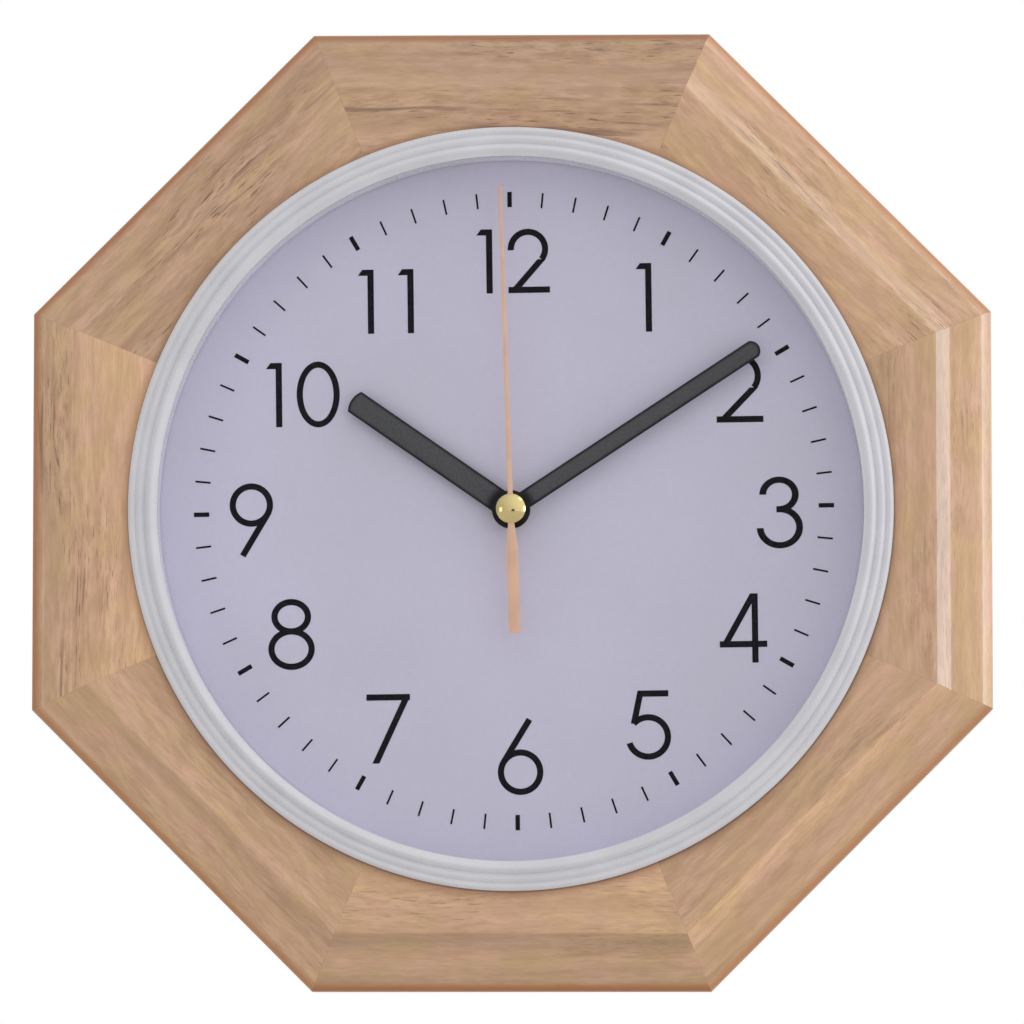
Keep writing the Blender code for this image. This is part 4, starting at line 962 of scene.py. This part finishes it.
def arc(centre, radius, start, sweep, squeeze=1.0):
    """Part of a circle from an angle, clockwise by a sweep, in degrees. Squeeze narrows or widens it."""
    aim_out = Vector((math.cos(math.radians(start)), math.sin(math.radians(start))))
    set_nib(Vector(centre) + aim_out * (radius - NIB / 2), Vector(centre) + aim_out * (radius + NIB / 2))
    steps = max(4, round(math.radians(sweep) / ARC_STEP))
    bpy.ops.mesh.spin(steps=steps, angle=math.radians(sweep), center=on_dial(*centre), axis=TO_VIEWER)
    bpy.ops.mesh.select_linked()
    bpy.ops.transform.resize(value=(squeeze, 1.0, 1.0), center_override=on_dial(*centre))


def loop(centre, half_width, half_height):
    """A closed bowl with an even stroke."""
    outer = Vector((half_width + NIB / 2, half_height + NIB / 2))
    inner = Vector((half_width - NIB / 2, half_height - NIB / 2))
    pick_none()
    bpy.ops.mesh.primitive_circle_add(vertices=72, radius=outer.x, location=on_dial(*centre), rotation=FLAT)
    bpy.ops.transform.resize(value=(1.0, 1.0, outer.y / outer.x), center_override=on_dial(*centre))
    bpy.ops.mesh.extrude_edges_move()
    bpy.ops.transform.resize(
        value=(inner.x / outer.x, 1.0, inner.y / outer.y), center_override=on_dial(*centre)
    )


# %% Figures one to five
FLAG_REACH = 3.0 * MM
FLAG_TOP = 1.6 * MM
FLAG_DROP = 1.9 * MM
FLAG_WIDTH = 3.2 * MM


def one(x, y, height):
    """The stem, and a flag with a slanting end."""
    top = y + height / 2
    bar((x, y - height / 2), (x, top))
    stem_left = x - NIB / 2
    set_nib((stem_left - FLAG_REACH, top - FLAG_DROP), (stem_left - FLAG_TOP, top))
    pull_nib(FLAG_WIDTH, 0.0)


def two(x, y, width, height):
    left = x - width / 2
    base = y - height / 2
    radius = 0.413 * width
    centre = (left + 0.482 * width, base + height - radius - NIB / 2)
    arc(centre, radius, 184, 222)
    ending = math.radians(-38)
    corner = (left + 0.6 * NIB, base)
    joint = (centre[0] + radius * math.cos(ending), centre[1] + radius * math.sin(ending))
    slash(joint, corner)
    bar((left, base + NIB / 2), (left + width, base + NIB / 2))


def three(x, y, height):
    top = y + height / 2
    upper = 0.206 * height
    lower = 0.252 * height
    middle = top - NIB / 2 - 2 * upper
    arc((x - 0.3 * MM, middle + upper), upper, 180, 268, 1.10)
    arc((x - 0.2 * MM, middle - lower), lower, 90, 268, 1.09)
    bar((x - 1.2 * MM, middle), (x + 0.3 * MM, middle))


def four(x, y, width, height):
    left = x - width / 2
    base = y - height / 2
    stem = left + 0.747 * width
    level = base + 0.269 * height
    bar((stem, base), (stem, base + height))
    bar((left, level), (left + width, level))
    slash((stem - 0.15 * NIB, base + height), (left + 0.62 * NIB, level - NIB / 2))


def five(x, y, width, height):
    left = x - width / 2
    top = y + height / 2
    radius = 0.438 * width
    centre = (left + 0.494 * width, top - height + radius + NIB / 2)
    bar((left + 0.28 * width, top - NIB / 2), (left + 0.953 * width, top - NIB / 2))
    slash((left + 0.34 * width, top), (left + 0.18 * width, top - 0.475 * height))
    arc(centre, radius, 137.5, 300)


# %% Figures six to nought
def six(x, y, width, height, turned=1):
    """The bowl and its tangent stem. Turned the other way up, it is the nine."""
    radius = (width - NIB) / 2
    low = -height / 2 + radius + NIB / 2
    tip = Vector((0.21 * width, height / 2 - NIB / 4))
    reach = tip - Vector((0.0, low))
    lean = math.atan2(reach.y, reach.x) + math.acos(radius / reach.length)
    touch = Vector((radius * math.cos(lean), low + radius * math.sin(lean)))
    centre = Vector((x, y))
    loop(centre + turned * Vector((0.0, low)), radius, radius)
    bar(centre + turned * touch, centre + turned * tip)


def seven(x, y, width, height):
    left = x - width / 2
    top = y + height / 2
    bar((left, top - NIB / 2), (left + width, top - NIB / 2))
    slash((left + width - 0.55 * NIB, top - 0.5 * NIB), (left + 0.2 * width, top - height))


def eight(x, y, width, height):
    top = y + height / 2
    upper = 0.205 * height
    lower = 0.247 * height
    middle = top - NIB / 2 - 2 * upper
    loop((x, middle + upper), 0.361 * width, upper)
    loop((x, middle - lower), (width - NIB) / 2, lower)


def nought(x, y, width, height):
    loop((x, y), (width - NIB) / 2, (height - NIB) / 2)


# %% Draw the numerals
TALL = 21.6 * MM
SHORT = 20.2 * MM
UPPER_ROW = 66.1 * MM
SECOND_ROW = 37.2 * MM
MIDDLE_ROW = -2.0 * MM
LOWER_ROW = -38.0 * MM
BOTTOM_ROW = -67.8 * MM
INNER_COLUMN = 40.5 * MM
OUTER_COLUMN = 70.5 * MM

numerals = start_piece("dial_numerals", POINTS_AND_EDGES)
one(-7.2 * MM, 78.2 * MM, SHORT)
two(5.2 * MM, 78.2 * MM, 13.0 * MM, SHORT)
one(INNER_COLUMN + 2.0 * MM, UPPER_ROW, TALL)
two(OUTER_COLUMN, SECOND_ROW, 14.6 * MM, TALL)
three(82.6 * MM, MIDDLE_ROW, 22.4 * MM)
four(OUTER_COLUMN, LOWER_ROW, 14.8 * MM, TALL)
five(INNER_COLUMN, BOTTOM_ROW, 14.0 * MM, TALL)
six(0.5 * MM, -77.0 * MM, 14.2 * MM, 24.0 * MM)
seven(-INNER_COLUMN, BOTTOM_ROW, 13.6 * MM, TALL)
eight(-OUTER_COLUMN, LOWER_ROW, 14.5 * MM, 22.4 * MM)
six(-82.6 * MM, MIDDLE_ROW, 13.6 * MM, 23.2 * MM, turned=-1)
one(-73.6 * MM, SECOND_ROW, SHORT)
nought(-61.3 * MM, SECOND_ROW, 13.5 * MM, 20.7 * MM)
one(-44.5 * MM, UPPER_ROW, SHORT)
one(-32.0 * MM, UPPER_ROW, SHORT)
object_mode()

# %% Draw the ticks
TICK_INNER = 95.2 * MM
TICK_OUTER = 100.0 * MM
HOUR_TICK = 1.4 * MM
MINUTE_TICK = 0.6 * MM

ticks = start_piece("dial_ticks", POINTS_AND_EDGES)
for width, count in ((MINUTE_TICK, 60), (HOUR_TICK, 12)):
    set_nib((-width / 2, TICK_INNER), (width / 2, TICK_INNER))
    pull_nib(0.0, TICK_OUTER - TICK_INNER)
    bpy.ops.mesh.select_linked()
    sweep = 2 * math.pi * (count - 1) / count
    bpy.ops.mesh.spin(steps=count - 1, angle=sweep, center=on_dial(0.0, 0.0), axis=TO_WALL, dupli=True)
object_mode()

# %% Lay the print on the dial
NUMERAL_SHIFT = Vector((1.3 * MM, 0.0, 0.1 * MM))
TICK_SHIFT = Vector((0.7 * MM, 0.0, 0.1 * MM))
PRINT_TURN = math.radians(-0.75)

for piece, shift in ((numerals, NUMERAL_SHIFT), (ticks, TICK_SHIFT)):
    only(piece)
    edit_mode()
    pick_all()
    extrude((0.0, -INK_THICKNESS, 0.0))
    face_outwards()
    bpy.ops.mesh.intersect_boolean(operation="UNION", use_self=True, solver="EXACT")
    object_mode()
    turn(piece, PRINT_TURN)
    piece.location = shift
    settle(piece)
    hand_over(piece, "case")

# %% Ink finish
ink = Finish("black_dial_ink", roughness=0.55, specular_ior_level=0.15)
ink.wire("Base Color", ink.blend(ink.spots(1200, 3.0), (0.35, 0.75), shade(18, 16, 22), shade(36, 34, 42)))
paint(ink, numerals, ticks)

# %% [markdown]
# ## The hands
#
# The hour and minute hands are flat bars with a round boss, pressed so that the middle stands up a
# little, and painted black. The raised middle is painted charcoal as a painted highlight, and the edges
# and the boss stay black, painted shade along the edges. The outline is drawn point by point, filled and
# given its thickness with Extrude, and two Insets that also rise make the pressed edge. The hands are
# drawn pointing at twelve and then turned.

# %% Outlines and pressed edges
HAND_THICKNESS = 0.5 * MM
HAND_EDGE = 0.35 * MM
HAND_EDGE_RISE = 0.05 * MM
HAND_SLOPE = 0.85 * MM
HAND_SLOPE_RISE = 0.15 * MM
MINUTE_ANGLE = math.radians(56.6)
HOUR_ANGLE = math.radians(300) + MINUTE_ANGLE / 12
SECOND_ANGLE = math.radians(358.06)
OUTLINE_STEP = math.radians(6)


def arc_spots(centre, radius, start, end):
    """Points (across, up) along an arc. Angles are counted from the right, anticlockwise, in radians."""
    steps = max(2, round(abs(end - start) / OUTLINE_STEP))
    angles = [start + (end - start) * step / steps for step in range(steps + 1)]
    across, up = centre
    return [(across + radius * math.cos(angle), up + radius * math.sin(angle)) for angle in angles]


def flat_piece(name, outline, low, high):
    """A plate with this outline, standing between two heights, still in edit mode."""
    piece = start_piece(name)
    draw_line([place(across, up, low) for across, up in outline])
    weld()
    bpy.ops.mesh.edge_face_add()
    extrude((0.0, low - high, 0.0))
    face_outwards()
    return piece


def raise_middle(piece, *insets):
    pick_faces(piece, lambda centre, normal: normal.y < -0.9)
    for width, rise in insets:
        bpy.ops.mesh.inset(thickness=width, depth=rise)
    object_mode()


def write_middle(piece, edge, top):
    """An attribute that grows from 0 at the edge of a hand's front to 1 on its raised middle."""
    middle = piece.data.attributes.new("middle", "FLOAT", "POINT")
    for point, amount in zip(piece.data.vertices, middle.data):
        amount.value = max(0.0, (-point.co.y - edge) / (top - edge))


# %% Hour and minute hand
BarHand = namedtuple("BarHand", "length width boss end back angle")
BAR_HANDS = {
    "hour": BarHand(60.6 * MM, 7.5 * MM, 6.0 * MM, 6.8 * MM, 24.1 * MM, HOUR_ANGLE),
    "minute": BarHand(92.6 * MM, 5.7 * MM, 5.9 * MM, 3.1 * MM, 26.1 * MM, MINUTE_ANGLE),
}


def bar_hand(name, hand):
    neck = math.asin(hand.width / 2 / hand.boss)
    tip = math.asin(hand.width / 2 / hand.end)
    outline = arc_spots((0.0, 0.0), hand.boss, math.pi / 2 + neck, 2.5 * math.pi - neck)
    outline += arc_spots((0.0, hand.length - hand.end), hand.end, math.pi / 2 - tip, math.pi / 2 + tip)
    top = hand.back + HAND_THICKNESS
    edge = top - HAND_EDGE_RISE - HAND_SLOPE_RISE
    piece = flat_piece(name + "_bar", outline, hand.back, edge)
    raise_middle(piece, (HAND_EDGE, HAND_EDGE_RISE), (HAND_SLOPE, HAND_SLOPE_RISE))
    write_middle(piece, edge, top)
    turn(piece, hand.angle)
    hand_over(piece, name + "s", [name + "_hand"])
    return piece


bar_hands = [bar_hand(name, hand) for name, hand in BAR_HANDS.items()]

# %% Second hand
SECOND_LENGTH = 101.5 * MM
SECOND_TIP = 1.0 * MM
SECOND_NECK = 1.6 * MM
SECOND_BOSS = 3.0 * MM
TAIL_LENGTH = 38.8 * MM
TAIL_WIDTH = 3.6 * MM
TAIL_FLARE = 12.5 * MM
SECOND_BACK = 28.1 * MM
SECOND_EDGE = 28.5 * MM
SECOND_INSET = (0.2 * MM, 0.1 * MM)

neck = math.asin(SECOND_NECK / 2 / SECOND_BOSS)
outline = arc_spots((0.0, 0.0), SECOND_BOSS, math.pi / 2 + neck, 1.5 * math.pi - neck)
outline.append((-TAIL_WIDTH / 2, -TAIL_FLARE))
outline.append((-TAIL_WIDTH / 2, -TAIL_LENGTH))
outline.append((TAIL_WIDTH / 2, -TAIL_LENGTH))
outline.append((TAIL_WIDTH / 2, -TAIL_FLARE))
outline += arc_spots((0.0, 0.0), SECOND_BOSS, 1.5 * math.pi + neck, 2.5 * math.pi - neck)
outline.append((SECOND_TIP / 2, SECOND_LENGTH))
outline.append((-SECOND_TIP / 2, SECOND_LENGTH))
second_hand = flat_piece("second_sweep", outline, SECOND_BACK, SECOND_EDGE)
raise_middle(second_hand, SECOND_INSET)
turn(second_hand, SECOND_ANGLE)
hand_over(second_hand, "seconds", ["second_hand"])

# %% Cap
CAP_RIM = 0.1 * MM
DOME_STEPS = 14

cap_low, cap_high = heights("hand_cap")
cap_radius = radius_of("hand_cap")
dome = [(0.0, cap_low), (cap_radius - CAP_RIM, cap_low), (cap_radius, cap_low + CAP_RIM)]
dome_height = cap_high - cap_low - CAP_RIM
ball = (cap_radius**2 + dome_height**2) / (2 * dome_height)
for step in range(DOME_STEPS + 1):
    lean = math.asin(cap_radius / ball) * (1 - step / DOME_STEPS)
    dome.append((ball * math.sin(lean), cap_high - ball * (1 - math.cos(lean))))
print("cap is", round(cap_radius / MM, 2), "mm in radius and", round(dome_height / MM, 2), "mm high")
cap = spun_piece("cap_dome", dome, steps=96)
hand_over(cap, "seconds", ["hand_cap"], smooth=50.0)

# %% Hand finishes
black_paint = Finish("satin_black_paint", specular_ior_level=0.3)
dust = black_paint.spots(1500, 3.0)
charcoal = black_paint.blend(dust, (0.3, 0.8), shade(78, 78, 81), shade(94, 94, 96))
# Painted highlight on the raised middle, which is charcoal, and painted shade along the edges, which stay
# black; the boss stays black too.
raised = black_paint.remap(black_paint.amount("middle"), 0.1, 1.0)
lit_middle = black_paint.product(raised, black_paint.remap(black_paint.from_axis(), 6 * MM, 9 * MM))
black_paint.wire("Base Color", black_paint.mix(lit_middle, shade(16, 15, 20), charcoal))
black_paint.wire("Roughness", black_paint.remap(dust, 0.3, 0.7, 0.36, 0.5))
black_paint.bump(dust, 0.004 * MM)
paint(black_paint, *bar_hands)


# %% Metal finishes
def worked_metal(name, colour, gloss, streak=(900, 900, 900), depth=0.003 * MM, metallic=1.0):
    """Metal with fine marks of its making: brushed where the noise is drawn out, else tumbled."""
    finish = Finish(name, metallic=metallic)
    marks = finish.noise(finish.place(streak), detail=4.0, roughness=0.6)
    duller = tuple(part * 0.9 for part in colour)
    tone = finish.blend(finish.spots(90, 3.0), (0.3, 0.7), colour, duller)
    # The floor of a screw's cross recess is painted dark: painted shade.
    finish.wire("Base Color", finish.mix(finish.amount("recess"), tone, shade(34, 32, 30)))
    finish.wire("Roughness", finish.remap(marks, 0.3, 0.7, gloss, 1.5 * gloss))
    finish.bump(marks, depth)
    return finish


pale_gold = worked_metal("pale_gold_lacquer", shade(255, 208, 178), 0.36, metallic=0.15)
polished_brass = worked_metal("polished_brass", shade(246, 224, 160), 0.07, depth=0.0003 * MM)
paint(pale_gold, second_hand)
paint(polished_brass, cap)

# %% [markdown]
# ## Screws
#
# Four screws hold the back plate and two hold the hanging plate. A screw is a turned part, so its head
# and shank are one profile that is spun, and a cross for the driver is cut into the head with two
# Booleans. The profile takes its heights from the solid screw, and its head faces the wall.


# %% Screws with a cross recess
def middle_of(node):
    low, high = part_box(node)
    return (low.x + high.x) / 2, (low.z + high.z) / 2 - AXIS


def write_recess(piece, floor):
    """An attribute that is 1 on the floor of the recess, where the metal is painted dark as painted shade.
    """
    recess = piece.data.attributes.new("recess", "FLOAT", "POINT")
    for point, amount in zip(piece.data.vertices, recess.data):
        amount.value = 1.0 if abs(-point.co.y - floor) < WELD_REACH else 0.0


def cross_screw(node, head, shank, driver_angle):
    """A screw with a rounded head of a given thickness, in the place of a solid screw."""
    across, up = middle_of(node)
    low, tip = heights(node)
    wide = radius_of(node)
    profile = [(0.0, low), (0.5 * wide, low + 0.03 * head), (0.78 * wide, low + 0.16 * head)]
    profile += [(0.94 * wide, low + 0.42 * head), (wide, low + 0.78 * head), (wide, low + head)]
    profile += [(shank, low + head), (shank, tip - 1.6 * shank), (0.0, tip)]
    piece = spun_piece(node + "_turned", profile, steps=48, beside=(across, up))
    depth = 0.75 * head
    for quarter in (0.0, math.pi / 2):
        spot = place(across, up, low)
        blade = (1.3 * wide, 2 * depth, 0.3 * wide)
        cut_with(piece, block_cutter(spot, blade, driver_angle + quarter))
    write_recess(piece, low + depth)
    hand_over(piece, "case", [node], smooth=40.0)
    return piece


PLATE_SCREWS = ("top_right", "top_left", "bottom_left", "bottom_right")
plate_screws = []
for number, corner in enumerate(PLATE_SCREWS):
    driver_angle = 0.3 + 0.9 * number
    plate_screws.append(cross_screw("plate_screw_" + corner, 1.8 * MM, 1.2 * MM, driver_angle))
hanger_screws = []
for number, side in enumerate(("left", "right")):
    hanger_screws.append(cross_screw("hanger_screw_" + side, 0.9 * MM, 1.1 * MM, 0.5 + 0.7 * number))

# %% [markdown]
# ## Movement case and hanging plate
#
# The solids of the movement's case and of the hanging plate have the right shape, but their edges are
# knife-sharp. A copy of each is welded, its flat triangles are joined to whole faces, and a Bevel
# modifier rounds the edges.


# %% Copies with rounded edges
def rounded_copy(node, name, width):
    only(frame["nodes"][node])
    bpy.ops.object.duplicate()
    piece = named(name)
    edit_mode()
    weld()
    bpy.ops.mesh.dissolve_limited(angle_limit=math.radians(1))
    object_mode()
    round_edges(piece, width, 2, 40)
    hand_over(piece, "case", [node], flat_faces=True)
    return piece


housing = rounded_copy("movement_housing", "housing_shell", 0.35 * MM)
cover = rounded_copy("movement_cover", "cover_shell", 0.3 * MM)
hanger = rounded_copy("hanger_plate", "keyhole_plate", 0.15 * MM)

# %% [markdown]
# ## Marks on the movement's cover
#
# A moulded cover carries raised marks: a bead that frames its middle, a ring round each button, and a
# plus and a minus sign for the cell. The bead is a plane with rounded corners whose middle is taken out
# after an Inset, the rings are spun, and the signs are flat plates.

# %% Raised bead
MARK_HEIGHT = 0.25 * MM
BEAD_HALF_WIDTH = 30.5 * MM
BEAD_LOW = -10.5 * MM
BEAD_HIGH = 20.5 * MM
BEAD_CORNER = 3.5 * MM
BEAD_WIDTH = 0.7 * MM
BEAD_ROUND = 0.1 * MM

cover_back = heights("movement_cover")[0]
mark_top = cover_back - MARK_HEIGHT
deselect()
middle = place(0.0, (BEAD_LOW + BEAD_HIGH) / 2, cover_back)
bpy.ops.mesh.primitive_plane_add(size=1.0, location=middle, rotation=(-math.pi / 2, 0.0, 0.0))
bead = named("cover_bead")
bead.scale = (2 * BEAD_HALF_WIDTH, BEAD_HIGH - BEAD_LOW, 1.0)
settle(bead)
edit_mode()
pick_all()
bpy.ops.mesh.bevel(offset=BEAD_CORNER, segments=8, affect="VERTICES")
bpy.ops.mesh.inset(thickness=BEAD_WIDTH, depth=0.0)
bpy.ops.mesh.delete(type="ONLY_FACE")
pick_all()
extrude((0.0, MARK_HEIGHT, 0.0))
face_outwards()
object_mode()
round_edges(bead, BEAD_ROUND, 2, 40)
hand_over(bead, "case")

# %% Rings and signs
BUTTONS = {"set_button": "set_key", "receive_button": "receive_key", "reset_button": "reset_key"}
RING_INNER = 2.9 * MM
RING_OUTER = 3.35 * MM
SIGN_REACH = 1.9 * MM
SIGN_HALF = 0.42 * MM
SIGN_ROW = -15.2 * MM
SIGN_COLUMN = 21.0 * MM

marks = [bead]
for node in BUTTONS:
    edge = (RING_OUTER - RING_INNER) / 4
    profile = [(RING_INNER, cover_back), (RING_INNER, mark_top + edge), (RING_INNER + edge, mark_top)]
    profile += [(RING_OUTER - edge, mark_top), (RING_OUTER, mark_top + edge), (RING_OUTER, cover_back)]
    ring = spun_piece(node + "_ring", profile + profile[:1], steps=64, beside=middle_of(node))
    hand_over(ring, "case")
    marks.append(ring)


def cross_outline(across, up, reach, half):
    quarter = [(half, half), (half, reach), (-half, reach)]
    spots = []
    for turned in range(4):
        for x, y in quarter:
            for _ in range(turned):
                x, y = -y, x
            spots.append((across + x, up + y))
    return spots


minus_corners = ((-1, -1), (1, -1), (1, 1), (-1, 1))
signs = {
    "plus_sign": cross_outline(SIGN_COLUMN, SIGN_ROW, SIGN_REACH, SIGN_HALF),
    "minus_sign": [(SIGN_REACH * x - SIGN_COLUMN, SIGN_HALF * y + SIGN_ROW) for x, y in minus_corners],
}
for name, outline in signs.items():
    sign = flat_piece(name, outline, cover_back, mark_top)
    hand_over(sign, "case")
    marks.append(sign)

# %% [markdown]
# ## Buttons and the cell
#
# A button is a short turned plug with a dished top. The cell is a turned can: a crimped rim and a flat
# end on one side, a shoulder and a nub on the other. It is spun about the hands' axis, because the helper
# does that, and then laid down along its bay.

# %% Dished buttons
BUTTON_STEM = 1.9 * MM
BUTTON_COLLAR = 0.9 * MM
DISH = 0.18 * MM

buttons = []
for node, body in BUTTONS.items():
    low, high = heights(node)
    collar = high - BUTTON_COLLAR
    profile = [(0.0, low + DISH), (0.5 * BUTTON_STEM, low + 0.6 * DISH), (0.78 * BUTTON_STEM, low)]
    profile += [(0.93 * BUTTON_STEM, low + 0.4 * DISH), (BUTTON_STEM, low + 1.4 * DISH)]
    profile += [(BUTTON_STEM, collar), (radius_of(node), collar), (radius_of(node), high), (0.0, high)]
    button = spun_piece(node + "_plug", profile, steps=48, beside=middle_of(node))
    hand_over(button, body, [node], smooth=50.0)
    buttons.append(button)

# %% Cell
NUB_LENGTH = 1.3 * MM
NUB_RADIUS = 2.6 * MM
RIM = 0.7 * MM
EASE = 0.3 * MM
END_SUNK = 0.25 * MM
END_RADIUS = 4.9 * MM
END_EDGE = 5.3 * MM

cell_low, cell_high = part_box("battery")
cell_length = cell_high.x - cell_low.x
cell_radius = (cell_high.z - cell_low.z) / 2
shoulder = cell_length - NUB_LENGTH
profile = [(0.0, END_SUNK), (END_RADIUS, END_SUNK), (END_EDGE, 0.0), (cell_radius - RIM, 0.0)]
profile += [(cell_radius - 0.3 * RIM, 0.3 * RIM), (cell_radius, RIM), (cell_radius, shoulder - RIM)]
profile += [(cell_radius - 0.3 * RIM, shoulder - 0.3 * RIM), (cell_radius - RIM, shoulder)]
profile += [(cell_radius - 2.2 * RIM, shoulder - EASE), (NUB_RADIUS + EASE, shoulder - EASE)]
profile += [(NUB_RADIUS, shoulder), (NUB_RADIUS, cell_length - EASE), (NUB_RADIUS - EASE, cell_length)]
profile.append((0.0, cell_length))
cell = spun_piece("cell_can", profile, steps=72)
lying = Matrix.Rotation(math.pi / 2, 3, "Z")
start = Vector((cell_low.x, (cell_low.y + cell_high.y) / 2, (cell_low.z + cell_high.z) / 2))
cell.rotation_euler = (0.0, 0.0, math.pi / 2)
cell.location = start - lying @ place(0.0, 0.0, 0.0)
settle(cell)
hand_over(cell, "cell", ["battery"], smooth=40.0)

# %% Cell finish
BAND_START = cell_high.x - 15 * MM
SCUFFED = (0.4, 0.75)

sleeve = Finish("cell_sleeve")
along = sleeve.split(sleeve.place((1, 1, 1)))["X"]
scuffs = sleeve.spots(300, 4.0, roughness=0.7)
dark = sleeve.blend(scuffs, SCUFFED, shade(38, 42, 50), shade(58, 63, 72))
band = sleeve.blend(scuffs, SCUFFED, shade(196, 138, 78), shade(176, 120, 66))
skin = sleeve.blend(along, (BAND_START, BAND_START + 0.2 * MM), dark, band)
left_bare = sleeve.remap(along, cell_low.x + 0.9 * RIM, cell_low.x + RIM, 1.0, 0.0)
right_bare = sleeve.remap(along, cell_low.x + shoulder - RIM, cell_low.x + shoulder)
bare = sleeve.math("MAXIMUM", left_bare, right_bare)
sleeve.wire("Base Color", sleeve.mix(bare, skin, shade(200, 200, 202)))
sleeve.wire("Metallic", bare)
sleeve.wire("Roughness", sleeve.remap(scuffs, 0.3, 0.7, 0.26, 0.42))
paint(sleeve, cell)
print("cell is", round(cell_length / MM, 1), "mm long")

# %% [markdown]
# ## The parts behind the dial
#
# The rest keeps the solids of the frame, because their shapes are right: the movement's gears and motors,
# the receiver board, the contacts and the back plate. Each gets a finish for its stuff, chosen by the
# record's material slots.

# %% Hardboard
hardboard = Finish("pressed_hardboard", specular_ior_level=0.3)
fibre_mat = hardboard.spots(420, 5.0, roughness=0.7, warp=1.2)
pulp = hardboard.blend(fibre_mat, (0.3, 0.7), shade(150, 108, 72), shade(122, 86, 56))
pulp = hardboard.blend(hardboard.spots(1900), (0.62, 0.74), pulp, shade(84, 58, 38), 0.6)
hardboard.wire("Base Color", pulp)
hardboard.wire("Roughness", hardboard.remap(fibre_mat, 0.3, 0.7, 0.55, 0.75))
hardboard.bump(fibre_mat, 0.05 * MM)

# %% Wound wire
winding = Finish("enamelled_copper", metallic=1.0)
wave = winding.add("TexWave", winding.place((420, 420, 420)), scale=1.0, distortion=0.3)
wave.wave_type = "BANDS"
wave.bands_direction = "X"
turns = wave.outputs["Fac"]
winding.wire("Base Color", winding.mix(turns, shade(122, 62, 34), shade(214, 132, 84)))
winding.wire("Roughness", winding.remap(turns, 0.0, 1.0, 0.45, 0.25))
winding.bump(turns, 0.06 * MM)

# %% Finishes by slot
finishes = {
    "pale_wood": wood,
    "white_plastic": white_plastic,
    "clear_glass": glass,
    "dial_white": dial_sheet,
    "hand_black": black_paint,
    "hand_gold": pale_gold,
    "brass": polished_brass,
    "steel": worked_metal("rolled_steel", shade(176, 178, 182), 0.28, (300, 2400, 2400)),
    "zinc": worked_metal("zinc_plate", shade(196, 198, 200), 0.36),
    "black_plastic": moulded_plastic("black_moulded_plastic", shade(38, 38, 40), 0.42),
    "grey_plastic": moulded_plastic("grey_moulded_plastic", shade(150, 152, 155), 0.4),
    "gear_white": moulded_plastic("ivory_gear_plastic", shade(222, 216, 200), 0.35),
    "rubber": moulded_plastic("black_rubber", shade(30, 30, 30), 0.7),
    "board_green": moulded_plastic("green_board", shade(30, 84, 52), 0.35),
    "copper_wire": winding,
    "ferrite": moulded_plastic("sintered_ferrite", shade(58, 56, 56), 0.6),
    "magnet": worked_metal("magnet_plating", shade(120, 120, 124), 0.3),
    "battery_wrap": sleeve,
    "hardboard": hardboard,
}
painted = 0
for node in frame["nodes"].values():
    slot = node.data.materials[0].name
    if slot in finishes:
        paint(finishes[slot], node)
        painted += 1
paint(finishes["zinc"], *plate_screws)
paint(finishes["steel"], *hanger_screws, hanger)
paint(finishes["black_plastic"], housing, cover, *marks)
paint(finishes["grey_plastic"], *buttons)
print("painted", painted, "parts of the frame")

# %% Floor finish
floor_paint = moulded_plastic("pale_floor", shade(222, 221, 218), 0.6, 0.02)
paint(floor_paint, floor)
